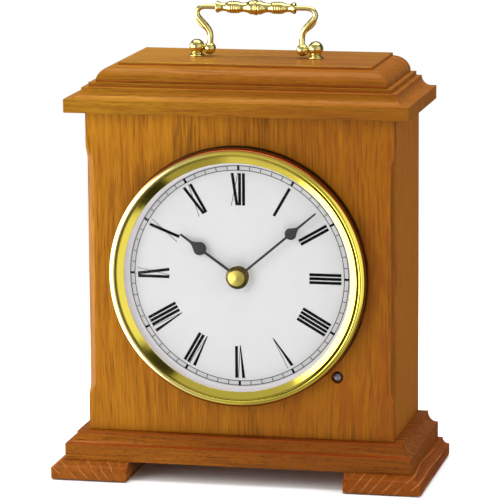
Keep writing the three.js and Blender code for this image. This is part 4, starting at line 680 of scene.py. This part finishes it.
class CLOCK_OT_mouldings(bpy.types.Operator):
    """Base board, cornice, cap and feet: moulded profiles run round the front and the sides."""

    bl_idname = "clock.mouldings"
    bl_label = "Mouldings and feet"

    def execute(self, context):
        sizes, hues = context.scene.clock_sizes, context.scene.clock_colours
        base, cornice, cap = box("base_board"), box("cornice_board"), box("top_cap")

        def upper_region(f, x, y, z):
            """Painted shade that darkens it towards the right, where less light falls; painted
            light that makes the cap's flat top paler, where the coat is also glossier.
            """
            lit_glossy_top = f.step(z, (CAP_TOP - 0.5) * MM, (CAP_TOP - 0.1) * MM)
            return 0.8 * f.step(x, -0.1, 0.06) - 0.5 * lit_glossy_top, 0.3, 0.12, 0.03 + 0.1 * lit_glossy_top

        lower = oak(
            "oak_base", "X", hues, hues.base, hues.base_dark, figure=0.8, pores=(0.55, 5, 1.0),
            rays=(0.45, 20, 7.0), grooves=(base[0][2] + 9.9, base[1][2] - 0.8),
        )
        upper = oak(
            "oak_cornice", "X", hues, hues.cornice, hues.cornice_dark, upper_region, 0.7,
            (0.35, 10, 1.0), (0.5, 20, 7.0),
            grooves=(cornice[0][2] + 15.15, cap[0][2] + 0.4, cap[0][2] + 9.65),
        )
        feet = oak(
            "oak_feet", "Y", hues, hues.foot, hues.foot_dark, figure=0.6, pores=(0.45, 5, 1.3),
            rays=(0.5, 46, 5.2), mirror=True,
        )

        out, tall = self.reach(base)
        cove = arc(out - 0.8, tall - 0.7, 5.7, 6.3, 270, 180, 12)
        line = [(out, 0), (out, 10.2), *cove, (6.6, tall), (5.0, tall)]
        self.board("base_moulding", "base_board", line, lower, sizes)

        out, tall = self.reach(cornice)
        cove = arc(out - 3.5, 15.1, 6.0, 6.4, 270, 180, 12)
        line = [(out - 1, 0), (out, 0), (out, 8.7), *cove, (-1.7, 15.1), (-1.7, tall)]
        self.board("cornice_moulding", "cornice_board", line, upper, sizes)

        out, tall = self.reach(cap)
        ovolo = arc(-17, 0, out + 17, 9.6, 0, 84, 16)
        line = [(out - 1, 0), *ovolo, (-17, 9.6), (-17, tall), (-18, tall)]
        self.board("cap_moulding", "top_cap", line, upper, sizes, "oak")

        for side, hand in SIDES:
            lo, hi = box(f"foot_{hand}")
            out, tall = self.reach((lo, hi))
            cove = arc(out - 0.8, tall, 3.6, 3.9, 270, 180, 10)
            line = [(out - 1, 0), (out, 0), (out, 7.3), *cove, (14, tall)]
            inner = hi[0] if side < 0 else lo[0]
            self.board(f"foot_moulding_{hand}", f"foot_{hand}", line, feet, sizes, inner=inner)
        pads = (f"felt_pad_{end}_{hand}" for end in ("front", "rear") for _, hand in SIDES)
        paint_nodes(felt("pad_felt", hues.felt), *pads)
        return {"FINISHED"}

    def reach(self, corners):
        """How far a board stands out beyond the case, and its height."""
        lo, hi = corners
        return max(hi[0], -lo[0]) - HALF_WIDTH, hi[2] - lo[2]

    def board(self, name, node, line, finish, sizes, slot="oak_moulding", inner=None):
        """One moulded board in a node's stead; line is its profile, whose corners are eased."""
        sheet = moulded(eased(line, sizes.arris / MM), box(node)[0][2], sizes, inner)
        piece(name, [sheet], finish, "case", [node])


class CLOCK_OT_bezel(bpy.types.Operator):
    """Bezel with its rounded lip, the polished ring inside it and the domed glass."""

    bl_idname = "clock.bezel"
    bl_label = "Bezel, ring and glass"

    def execute(self, context):
        sizes, hues = context.scene.clock_sizes, context.scene.clock_colours
        brass = self.bezel_finish(hues)

        lo, hi = box("bezel")
        top, foot = FRONT - lo[1], FRONT - hi[1]
        wall, crest, inner = (BEZEL_RADIUS - d for d in (0.9, 3.3, sizes.bead / MM))
        under = FRONT - box("sight_ring")[1][1]
        lip = arc(crest, top - 2.9, BEZEL_RADIUS - crest, 2.9, 0, 90, 30)
        flank = arc(crest, top - 0.8, crest - inner, 0.8, 90, 180, 8)
        profile = [(wall, foot), (BEZEL_RADIUS, foot), *lip, *flank[1:], (inner, under)]
        sheet = turned([*profile, (wall, under)], DIAL_CENTRE, "front", LARGE_ROUND, True)
        piece("bezel_rim", [sheet], brass, "case", ["bezel"], 40)

        lo, hi = box("sight_ring")
        inner, outer = BEZEL_RADIUS - 9.4, hi[0] + 0.25
        high = FRONT - lo[1]
        low, back, wall = high - sizes.ring_step / MM, high - 0.6, outer - 0.6
        profile = [(wall, under), (outer, under), (outer, high), (inner, low), (inner, low - 0.6),
                   (wall, back), (wall, under)]
        sheet = turned(eased(profile, 0.22), DIAL_CENTRE, "front", LARGE_ROUND, True)
        piece("sight_ring_polished", [sheet], brass, "case", ["sight_ring"], 50)

        lo, hi = box("bezel_glass")
        edge, rear = hi[0], FRONT - hi[1]
        front = rear + 1.8
        share = np.linspace(1, 0, 24)
        dome = (inner - 0.3) * share
        crown = (FRONT - lo[1] - front) * (1 - share**2)
        profile = np.concatenate([
            [(edge, rear), (edge, front)],
            np.stack([dome, front + crown], -1),
            np.stack([dome, rear + crown], -1)[::-1],
            [(edge, rear)],
        ])
        sheet = turned(profile, DIAL_CENTRE, "front", 160)
        glass = clear_glass("glass_clear")
        piece("glass_dome", [sheet], glass, "case", ["bezel_glass"])
        paint_nodes(plastic("plastic_black", hues.black_plastic), "clamp_ring")
        paint_nodes(self.insert_finish(hues), "insert_body")
        return {"FINISHED"}

    def bezel_finish(self, hues):
        """Polished brass with painted light: a painted shadow where the rim's wall meets the wood,
        and painted shade in the channel beside the ring, most of all on the right; a painted
        reddish reflection of the wood where its roll turns towards it, and a painted highlight on
        the roll's left half; with faint clouds and a very shallow wave."""
        f = Finish("brass_polished")
        x, y, square = f.about(DIAL_Z)
        radius = square.math("SQRT", square)

        def span(value, start, end):
            """Rises from 0 to 1 between two distances in mm inside the rim's edge."""
            return f.step(value, (BEZEL_RADIUS - start) * MM, (BEZEL_RADIUS - end) * MM)

        # Painted shade in the channel beside the ring, darkest on the right and at the sides.
        right, level = f.step(x, 0.0, 0.05), x * x * (BEZEL_RADIUS * MM) ** -2
        beside = radius.math("ABSOLUTE", radius - (BEZEL_RADIUS - 4.45) * MM + 0.0004 * right)
        groove_shade = f.step(beside - 0.0003 * right, 0.0012, 0.0003) * (0.3 + 0.5 * level + 0.5 * right)
        # Painted shadow where the rim's wall meets the wood.
        seat = f.step(y, (FRONT - 7) * MM, (FRONT - 4.5) * MM)
        clouds = f.grain(55, 3.0, 0.6)
        tint = f.mix(0.15 * clouds, hues.brass, srgb(206, 172, 70))
        # Painted highlight on the left half of the roll.
        pale = span(radius, 4.4, 3.9) * f.step(x, 0.0, -0.05)
        tint = f.mix(0.5 * pale, tint, srgb(250, 236, 176))
        tint = f.mix(groove_shade, tint, f.mix(right, srgb(70, 50, 14), srgb(28, 22, 4)))
        # Painted reddish reflection of the wood on the roll's outer side.
        tint = f.mix(span(radius - 0.0013 * level, 2.2, 0.9), tint, srgb(186, 100, 54))
        tint = f.mix(seat, tint, srgb(24, 8, 2))
        rough = 0.07 + 0.02 * clouds + 0.15 * groove_shade + 0.2 * seat
        return f.shader(tint, rough, (clouds, 0.02, 0.002), Metallic=1.0)

    def insert_finish(self, hues):
        """Black plastic, sprayed white on the short wall in front of the dial."""
        f = Finish("insert_plastic")
        fine = f.grain(1400)
        sprayed = f.step(f.axes(f.place)[1], (FRONT + 1) * MM, (FRONT - 0.2) * MM)
        tint = f.mix(sprayed, hues.black_plastic, (0.97, 0.94, 0.97))
        return f.shader(tint, 0.45 + 0.1 * fine, (fine, 0.1, 0.0002))


class CLOCK_OT_dial(bpy.types.Operator):
    """The dial with its minute track and Roman numerals, printed as thin raised bars."""

    bl_idname = "clock.dial"
    bl_label = "Dial and numerals"

    def execute(self, context):
        sizes, hues = context.scene.clock_sizes, context.scene.clock_colours
        paint_nodes(self.dial_finish(hues, sizes.track_outer), "dial_plate")
        black = painted("print_black", hues.print, 0.7, 0.05)
        grey = painted("print_grey", hues.track, 0.6, 0.1)
        high, line = sizes.print_height / MM, sizes.track_line / MM
        inner, outer = sizes.track_inner / MM, sizes.track_outer / MM

        sheets = []
        for r in (inner - line / 2, outer - line / 2):
            profile = [(r, 0), (r + line, 0), (r + line, high), (r, high)]
            sheets.append(turned(profile, DIAL_CENTRE, "front", LARGE_ROUND, True))
        minute = bars([(0, inner)], [(0, outer)], [line], high * 0.9)[0]
        sheets += [dial_turn(minute, 6 * i) for i in range(60) if i % 5]
        piece("minute_track", sheets, grey, "case")

        tick = bars([(0, inner - 0.25)], [(0, outer + 0.35)], [sizes.hour_tick / MM], high * 1.1)[0]
        ticks = [dial_turn(tick, 30 * i) for i in range(12)]
        piece("hour_ticks", ticks, black, "case")

        sheets = []
        for hour, letters in enumerate(NUMERALS, 1):
            sheets += [dial_turn(sheet, 30 * hour) for sheet in self.numeral(letters, sizes)]
        piece("hour_numerals", sheets, black, "case")
        return {"FINISHED"}

    def dial_finish(self, hues, edge):
        """White paint, even, and paler outside the minute track: painted light against the shade
        that the ring casts there.
        """
        f = Finish("dial_paint")
        clouds = f.grain(160, 3.0)
        # Painted light: paler outside the minute track, where the ring shades the dial.
        rim = f.step(f.about(DIAL_Z)[2], edge**2, (edge + 0.0015) ** 2)
        tint = f.mix(0.8 * rim, f.mix(0.02 * clouds, hues.dial, (0, 0, 0)), (0.92, 0.88, 0.92))
        bump = (clouds, 0.01, 0.0003)
        return f.shader(tint, 0.5 + 0.08 * clouds, bump, Specular_IOR_Level=0.3)

    def numeral(self, letters, sizes):
        """Strokes of one numeral drawn upright above the dial's centre, its foot at the inner
        radius. I is one thick bar; V is a thick bar that narrows to its foot and a hairline that
        meets it there; X is a thick bar from top left to bottom right crossed by a hairline. A
        hairline's free end has a small serif."""
        foot, head = sizes.numeral_inner / MM, sizes.numeral_outer / MM
        thick, thin, pitch = sizes.stroke / MM, sizes.hairline / MM, sizes.stroke_pitch / MM
        # For each letter its room and its strokes: from x, z to x, z, the width and its narrowing.
        drawn = {
            "I": (pitch, [(0, foot, 0, head, thick, 1)]),
            "V": (1.6 * pitch, [
                (-1.3, head, 0.8, foot - 0.6, 1.1 * thick, 0.25),
                (0.85, foot - 0.3, 2.1, head, thin, 1),
                (1.6, head - 0.1, 2.5, head - 0.1, 0.25, 1),
            ]),
            "X": (1.6 * pitch, [
                (-1.5, head, 1.5, foot, thick, 1),
                (-2.1, foot, 2.1, head, thin, 1),
                (-2.6, foot + 0.1, -1.6, foot + 0.1, 0.3, 1),
                (1.6, head - 0.1, 2.6, head - 0.1, 0.3, 1),
            ]),
        }
        x = -sum(drawn[letter][0] for letter in letters) / 2
        strokes = []
        for letter in letters:
            room, shapes = drawn[letter]
            middle = x + room / 2
            strokes += [((middle + a, b), (middle + c, d), *rest) for a, b, c, d, *rest in shapes]
            x += room
        starts, ends, widths, narrow = zip(*strokes)
        sheets = bars(starts, ends, widths, sizes.print_height / MM, narrow)
        # Each stroke is a little higher than the last, so that crossing strokes don't share a face.
        return [(s[0] * np.array([1, 1 + 0.08 * i, 1]), *s[1:]) for i, s in enumerate(sheets)]


class CLOCK_OT_hands(bpy.types.Operator):
    """Spade hands, the brass cap that holds them and the nut under them."""

    bl_idname = "clock.hands"
    bl_label = "Hands and cap"

    def execute(self, context):
        hues = context.scene.clock_colours
        paint = painted("hand_paint", hues.hand, 0.42)
        bore, hub = 2.0, 4.6
        # The angle from twelve, the reach, and the shares of it that give the spade's shape.
        for name, angle, reach, *shares in (
            ("hour", 305.3, 45.3, 0.663, 0.096, 0.83, 0.0187),
            ("minute", 49.9, 65.5, 0.6815, 0.0578, 0.779, 0.0116),
        ):
            lo, hi = box(f"{name}_hand")
            rear, front = FRONT - hi[1], FRONT - hi[1] + (hi[1] - lo[1])
            z, half = self.outline(reach, *(share * reach for share in shares))
            blade = plate(half, z, rear + (hi[1] - lo[1]) / 2, hi[1] - lo[1])
            ring = [(bore, rear), (hub, rear), (hub, front), (bore, front)]
            ring = turned(ring, DIAL_CENTRE, "front", SMALL_ROUND, True)
            sheets = [dial_turn(blade, angle), ring]
            piece(f"{name}_hand_spade", sheets, paint, name, [f"{name}_hand"])

        lo, hi = box("hand_cap")
        rear, face = FRONT - hi[1], FRONT - lo[1]
        wide, narrow = (hi[0] - lo[0]) / 2, 4.8
        line = [(0, rear), (wide, rear), (wide, rear + 0.8), (wide - 0.5, rear + 1.3),
                (narrow + 0.5, face - 0.9), (narrow, face - 0.5), (0.3, face - 0.03), (0, face)]
        sheet = turned(eased(line, 0.3, 4), DIAL_CENTRE, "front")
        cap = self.cap_finish(narrow)
        piece("hand_cap_turned", [sheet], cap, "minute", ["hand_cap"], 20)
        paint_nodes(self.nut_finish(hues), "fixing_nut")
        return {"FINISHED"}

    def cap_finish(self, narrow):
        """Brass cap: polished on its face, and painted dark on the flank outside it, a painted
        shade.
        """
        f = Finish("brass_cap")
        # Painted shade: the flank outside the face is painted dark.
        flank = f.step(f.about(DIAL_Z)[2], ((narrow + 0.1) * MM) ** 2, ((narrow + 0.5) * MM) ** 2)
        clouds = f.grain(300, 3.0, 0.6)
        tint = f.mix(flank * (0.75 + 0.25 * clouds), srgb(190, 174, 88), srgb(62, 48, 26))
        return f.shader(tint, 0.34 + 0.03 * clouds, (clouds, 0.03, 0.0005), Metallic=1.0)

    def nut_finish(self, hues):
        """Brass nut, painted dark for the dark reflections it shows, with a pale washer's edge
        round it.
        """
        f = Finish("nut_painted_dark")
        edge = f.step(f.about(DIAL_Z)[2], 0.0065**2, 0.0067**2)
        clouds = f.grain(400, 3.0, 0.6)
        # Painted dark reflection: the nut's brass is painted dark.
        painted_dark = f.mix(clouds, srgb(104, 84, 40), srgb(62, 46, 26))
        tint, bare = f.mix(edge, painted_dark, hues.white_plastic), 0.7 - 0.7 * edge
        return f.shader(tint, 0.35 + 0.1 * clouds, (clouds, 0.05, 0.0003), Metallic=bare)

    def outline(self, reach, spade, radius, shoulder, stem):
        """Places and half widths along a spade hand: an even stem, the circle
        sqrt(r^2 - (z - spade)^2), and past it a concave side that falls as (1 - share)^1.6 to a
        needle that narrows to its tip."""
        a = np.linspace(math.asin(stem / radius), 0.62 * math.pi, 30)
        circle = np.stack([spade - radius * np.cos(a), radius * np.sin(a)], -1)
        share = np.linspace(0, 1, 16)[1:]
        z0, w0 = circle[-1]
        side = np.stack([z0 + (shoulder - z0) * share, stem + (w0 - stem) * (1 - share) ** 1.6], -1)
        tip = [(reach - 0.5, stem * 0.75), (reach, stem * 0.45)]
        return np.concatenate([[(0, stem)], circle, side, tip]).T


class CLOCK_OT_handle(bpy.types.Operator):
    """Bail handle: ball posts, bent rods with a cast point, and the turned grip."""

    bl_idname = "clock.handle"
    bl_label = "Bail handle"

    def execute(self, context):
        hues = context.scene.clock_colours
        brass = metal("brass_handle", hues.pale_brass, 0.1)
        for side, hand in SIDES:
            lo, hi = box(f"handle_post_{hand}")
            x, r = (lo[0] + hi[0]) / 2, (hi[0] - lo[0]) / 2
            pivot, seat, wide = hi[2] - r, CAP_TOP + 0.1, r + 0.35
            globe = arc(0, pivot, wide, wide, -math.degrees(math.acos(3.2 / wide)), 90, 26)
            globe[-1, 0] = 0
            line = [(0, lo[2]), (2, lo[2]), (2, seat), (5.0, seat), (5.0, seat + 0.6),
                    (3.7, seat + 1.4), *globe]
            sheet = turned(eased(line, 0.2), (x, HANDLE_Y, 0), "up", 56)
            post = [f"handle_post_{hand}"]
            piece(f"post_{hand}", [sheet], brass, "case", post, 40)

            ball_x, pin_end, rise = abs(x) - r - 4.0, abs(x) - r + 3, GRIP_Z - pivot
            bend = [(ball_x + u * rise, pivot + v * rise) for u, v in (
                (0, 0), (-0.01, 0.15), (-0.015, 0.27), (0.01, 0.385), (0.075, 0.49), (0.16, 0.59),
                (0.243, 0.68), (0.3, 0.755), (0.325, 0.83), (0.308, 0.905), (0.25, 0.965),
                (0.16, 0.995), (0.08, 1),
            )]
            route = curve([*bend, (GRIP_END, GRIP_Z), (GRIP_END - 6, GRIP_Z)], 110)
            thick = self.along(110, [0, 0.3, 0.5, 0.62, 1], [1.8, 2.1, 1.95, 1.6, 1.5])
            spur = curve([(ball_x + u, pivot + v) for u, v in (
                (-0.6, 8.4), (1.8, 10.8), (4.6, 12.9), (7.3, 15.2), (9.2, 17.5),
            )], 20)
            taper = self.along(20, [0, 0.3, 0.6, 0.85, 1], [0.8, 1.05, 0.95, 0.65, 0.2])
            knob = arc(0, 0, 3.9, 3.9, -90, 67, 24)
            knob = np.concatenate([[(0, -3.9)], knob[1:], [(0, knob[-1, 1])]])
            pin = [(0, ball_x), (1.2, ball_x), (1.2, pin_end), (0, pin_end)]
            pin = turned(pin, (0, HANDLE_Y, pivot), "right", 24)
            pin[0][..., 0] *= side
            knob_centre = (side * ball_x, HANDLE_Y, pivot - 1)
            sheets = [
                along_line(route * [side, 1], thick, HANDLE_Y),
                turned(knob * [1, side], knob_centre, "right", SMALL_ROUND),
                pin,
                along_line(spur * [side, 1], taper, HANDLE_Y, 16),
            ]
            rod = [f"bail_rod_{hand}"]
            piece(f"bail_{hand}", sheets, brass, "bail", rod, 50)

        half = curve([
            (0, 4.6), (0.5, 4.95), (0.9, 4.7), (1.3, 4.1), (1.7, 4.3), (2.4, 4.45), (3.3, 4.35),
            (4.3, 3.95), (5.5, 3.4), (6.9, 3.05), (8.3, 2.95), (9.7, 3.15), (10.8, 3.55),
            (11.5, 3.8), (12.1, 3.8), (12.5, 3.45), (12.9, 3.85), (13.6, 3.85), (14, 3.45),
            (14.4, 3.9), (15.1, 3.9), (15.5, 3.45), (15.9, 3.85), (16.7, 3.75), (17.8, 3.45),
            (18.9, 2.95), (20.2, 2.55), (21.4, 2.5), (22.6, 2.75), (23.8, 3.3), (24.7, 3.65),
            (25.3, 3.65), (25.7, 3.3), (25.9, 2.4),
        ], 133)
        profile = np.concatenate([half[:0:-1] * [-1, 1], half])[:, ::-1]
        line = np.concatenate([[(0, -half[-1, 0])], profile, [(0, half[-1, 0])]])
        sheet = turned(line, (0, HANDLE_Y, GRIP_Z), "right", 64)
        piece("grip_turned", [sheet], brass, "bail", ["handle_grip"], 40)
        nut = metal("nut_brass", hues.plain_brass, 0.25)
        paint_nodes(nut, "handle_nut_left", "handle_nut_right")
        return {"FINISHED"}

    def along(self, count, shares, values):
        """Values at even steps along a line, from the values at some shares of its length."""
        return np.interp(np.linspace(0, 1, count), shares, values)


class CLOCK_OT_sensor(bpy.types.Operator):
    """The light sensor's domed lens."""

    bl_idname = "clock.sensor"
    bl_label = "Light sensor"

    def execute(self, context):
        hues = context.scene.clock_colours
        lo, hi = box("sensor_lens")
        r = (hi[0] - lo[0]) / 2
        dome = arc(0, -lo[1] - r, r, r, 0, 90, 16)
        dome[-1, 0] = 0
        line = np.concatenate([[(0, -hi[1]), (r, -hi[1])], dome])
        sheet = turned(line, middle("sensor_lens") * [1, 0, 1], "front", 40)
        glassy = plastic("lens_resin", hues.lens, 0.12, 300, 0.02)
        piece("sensor_dome", [sheet], glassy, "case", ["sensor_lens"])
        return {"FINISHED"}


class CLOCK_OT_back(bpy.types.Operator):
    """Back panel, door with its knob and hinge, and the speaker behind the slots."""

    bl_idname = "clock.back"
    bl_label = "Back and door"

    def execute(self, context):
        hues = context.scene.clock_colours
        paint_nodes(plywood("plywood_back", hues.plywood), "back_panel", "rear_door")
        brass = metal("brass_plain", hues.plain_brass, 0.35, 0.06, bare=0.6)
        paint_nodes(brass, "door_hinge_fixed_leaf", "door_hinge_moving_leaf", "door_hinge_pin")
        lo, hi = box("door_knob")
        r = (hi[0] - lo[0]) / 2
        line = [(0, -5.8), (0.9 * r, -5.2), (r, -3.6), (0.5 * r, -2), (0.8 * r, 0), (0, 0)]
        x, _, z = middle("door_knob")
        sheet = turned(eased(line, 0.9, 5), (x, lo[1], z), "front", SMALL_ROUND)
        piece("door_knob_turned", [sheet], brass, "door", ["door_knob"], 45)
        paint_nodes(metal("basket_steel", hues.steel, 0.35, 0.08), "speaker_basket")
        paint_nodes(cone_paper("cone_pulp"), "speaker_cone")
        return {"FINISHED"}


class CLOCK_OT_movement(bpy.types.Operator):
    """Movement, batteries, controls and leads: the frame's solids with their own finishes."""

    bl_idname = "clock.movement"
    bl_label = "Movement and controls"

    def execute(self, context):
        hues = context.scene.clock_colours
        black = plastic("movement_black", hues.black_plastic, 0.5)
        white = plastic("movement_white", hues.white_plastic, 0.4)
        steel = metal("movement_steel", hues.steel, 0.25, 0.08)
        brass = metal("arbor_brass", hues.plain_brass, 0.25, 0.06)
        paint_nodes(black, "movement_case", "movement_cover", "battery_lid")
        paint_nodes(white, "gear_plate", "intermediate_wheel", "motion_wheel", "hour_wheel",
                    "set_knob", "volume_dial", "melody_switch", "demo_button")
        paint_nodes(steel, "stator", "rotor", "battery_contact_left", "battery_contact_right")
        paint_nodes(brass, "centre_wheel")
        paint_nodes(wound_copper("coil_wire"), "coil")
        paint_nodes(circuit("board_green"), "circuit_board")
        wrap = cell_wrap("cell_film", srgb(36, 38, 44), srgb(168, 60, 40))
        paint_nodes(wrap, "battery_lower", "battery_upper")
        paint_nodes(plastic("lead_sleeve", hues.black_plastic, 0.55), "sensor_lead", "speaker_lead")
        return {"FINISHED"}


def lamp(name, size, power, place, target):
    """A square area light that faces a target. The tent shows its reflection in its stead."""
    data = bpy.data.lights.new(name, "AREA")
    data.shape, data.size, data.energy = "SQUARE", size, power
    made = placed(name, data)
    made.location = place
    made.rotation_euler = (Vector(target) - Vector(place)).to_track_quat("-Z", "Y").to_euler()
    made.visible_glossy = made.visible_camera = False


def stage_piece(name, grid, finish):
    """A sheet of the stage, wrapped across its columns."""
    mesh = bpy.data.meshes.new(name)
    faces = grid_faces(*grid.shape[:2], False, True)
    mesh.from_pydata(grid.reshape(-1, 3), [], faces.tolist())
    mesh.materials.append(finish)
    made = placed(name, mesh)
    return made


def floor_finish(hues):
    """White paper that keeps a shadow near the clock and is plain white for the camera beyond."""
    f = Finish("floor_paper")
    x, y, _ = f.axes(f.place)
    away = f.step(x * x + y * y, 0.03, 0.5)
    sheet = f.mix(f.grain(200), hues.floor, (0.97, 0.97, 0.97))
    paper = f.node("BsdfDiffuse", {"Color": sheet})
    glow = f.node("Emission", {"Color": (1, 1, 1, 1), "Strength": 1.0})
    seen = f.node("LightPath", output="Is Camera Ray")
    both = f.node("MixShader", {0: seen * away, 1: paper, 2: glow})
    return f.ends(both)


def tent_finish():
    """A studio tent that only reflections see: grey cloth with a tall window on the left, smaller
    and dimmer ones in front and on the right, one overhead, and a dark upright strut. Each is a
    rounded rectangle u^4 + v^4 < 1 in the direction from the clock."""
    f = Finish("tent_cloth")
    middle = f.shifted(f.place, (0, 0, -STAGE_HEIGHT))
    direction = f.node("VectorMath", {0: middle}, {"operation": "NORMALIZE"})
    x, y, z = f.axes(direction)

    def patch(middle, up, wide, tall, soft, across=x, along=z):
        u, v = (across - middle) / wide, (along - up) / tall
        u, v = u * u, v * v
        return f.step(u * u + v * v, 1 + soft, 1 - soft)

    level = 0.36
    # Each window's power, middle, height, half width, half height and softness.
    for power, *window in (
        (7.0, -0.75, -0.17, 0.31, 0.47, 0.5),
        (0.4, -0.38, -0.6, 0.2, 0.2, 0.7),
        (0.62, 0.32, -0.2, 0.2, 0.3, 0.35),
        (0.25, -0.21, -0.06, 0.18, 0.2, 0.6),
        (0.6, 0.72, 0.1, 0.36, 0.5, 0.5),
    ):
        level = level + power * patch(*window)
    level = level * (1 - 0.5 * patch(-0.2, -0.5, 0.16, 0.08, 0.6)) * f.step(y, 0.05, -0.2)
    strut = 1 - 0.94 * patch(0.08, -0.16, 0.062, 0.42, 0.35)
    level = (level + 0.04 + 0.1 * f.step(z, -0.2, 0.1)) * strut
    above = 3.6 * patch(0, 0.13, 0.6, 0.34, 0.3, x, y) * f.step(z, 0.2, 0.4)
    level = level + above + 2.2 * f.step(x, -0.76, -0.9)
    return f.ends(f.node("Emission", {"Color": level, "Strength": 1.0}))


class CLOCK_OT_stage(bpy.types.Operator):
    """Pale floor, soft studio light and the camera."""

    bl_idname = "clock.stage"
    bl_label = "Stage"

    def execute(self, context):
        hues = context.scene.clock_colours
        scene = bpy.context.scene
        a = np.linspace(0, TURN, 64, endpoint=False)[None, :]
        r = np.array([0.0, 0.3, 1.0, 3.0, 12.0])[:, None]
        disc = np.stack(np.broadcast_arrays(r * np.cos(a), r * np.sin(a), 0 * r * a), -1)
        floor = stage_piece("floor", disc, floor_finish(hues))
        floor.visible_glossy = False

        up = np.radians(np.linspace(-89, 89, 33))[:, None]
        ball_grid = (np.cos(up) * np.cos(a), np.cos(up) * np.sin(a), np.sin(up) + 0 * a)
        ball = 3 * np.stack(ball_grid, -1) + [0, 0, STAGE_HEIGHT]
        tent = stage_piece("tent", ball, tent_finish())
        tent.visible_camera = tent.visible_diffuse = False
        tent.visible_shadow = tent.visible_transmission = False

        studio = Finish("studio", "worlds")
        clear = studio.node("LightPath", output="Is Camera Ray")
        for ray in ("Is Glossy Ray", "Is Transmission Ray"):
            clear = clear.math("MAXIMUM", clear, studio.node("LightPath", output=ray))
        strength = 0.56 + 0.44 * clear
        sky = studio.node("Background", {"Color": (1, 1, 1, 1), "Strength": strength})
        scene.world = studio.ends(sky, "OutputWorld")

        lamp("key", 1.0, 11.5, (-0.8, -1.2, 0.8), (0, 0, STAGE_HEIGHT))
        lamp("top", 1.2, 38, (-0.1, 0.1, 1.8), (0, 0, 0.2))
        lamp("fill", 1.4, 20, (2.0, -0.5, 0.9), (0, 0, STAGE_HEIGHT))

        camera = bpy.data.cameras.new("camera")
        camera.sensor_width, camera.lens = CAMERA_SENSOR, CAMERA_LENS
        camera.clip_start, camera.clip_end = 0.05, 60
        holder = placed("camera", camera)
        yaw, pitch, roll = (math.radians(v) for v in CAMERA_ANGLES)
        turn = Matrix.Rotation(yaw, 4, "Z") @ Matrix.Rotation(math.pi / 2 - pitch, 4, "X")
        turn = turn @ Matrix.Rotation(roll, 4, "Z")
        holder.matrix_world = Matrix.Translation(CAMERA_PLACE) @ turn
        scene.camera = holder
        scene.view_settings.view_transform = "Standard"
        return {"FINISHED"}


OPERATORS = (
    CLOCK_OT_case_panels,
    CLOCK_OT_mouldings,
    CLOCK_OT_bezel,
    CLOCK_OT_dial,
    CLOCK_OT_hands,
    CLOCK_OT_handle,
    CLOCK_OT_sensor,
    CLOCK_OT_back,
    CLOCK_OT_movement,
    CLOCK_OT_stage,
)


class CLOCK_PT_panel(bpy.types.Panel):
    """Lists the clock's settings and operators."""

    bl_idname = "CLOCK_PT_panel"
    bl_label = "Mantel clock"
    bl_space_type = "VIEW_3D"
    bl_region_type = "UI"
    bl_category = "Clock"

    def draw(self, context):
        for group in (context.scene.clock_sizes, context.scene.clock_colours):
            column = self.layout.column()
            for name in group.__annotations__:
                column.prop(group, name)
        for operator in OPERATORS:
            self.layout.operator(operator.bl_idname)


CLASSES = (ClockSizes, ClockColours, *OPERATORS, CLOCK_PT_panel)


def register():
    for kind in CLASSES:
        bpy.utils.register_class(kind)
    bpy.types.Scene.clock_sizes = PointerProperty(type=ClockSizes)
    bpy.types.Scene.clock_colours = PointerProperty(type=ClockColours)


def unregister():
    del bpy.types.Scene.clock_colours
    del bpy.types.Scene.clock_sizes
    for kind in reversed(CLASSES):
        bpy.utils.unregister_class(kind)


def main():
    register()
    for operator in OPERATORS:
        group, name = operator.bl_idname.split(".")
        getattr(getattr(bpy.ops, group), name)()


if __name__ == "__main__":
    main()
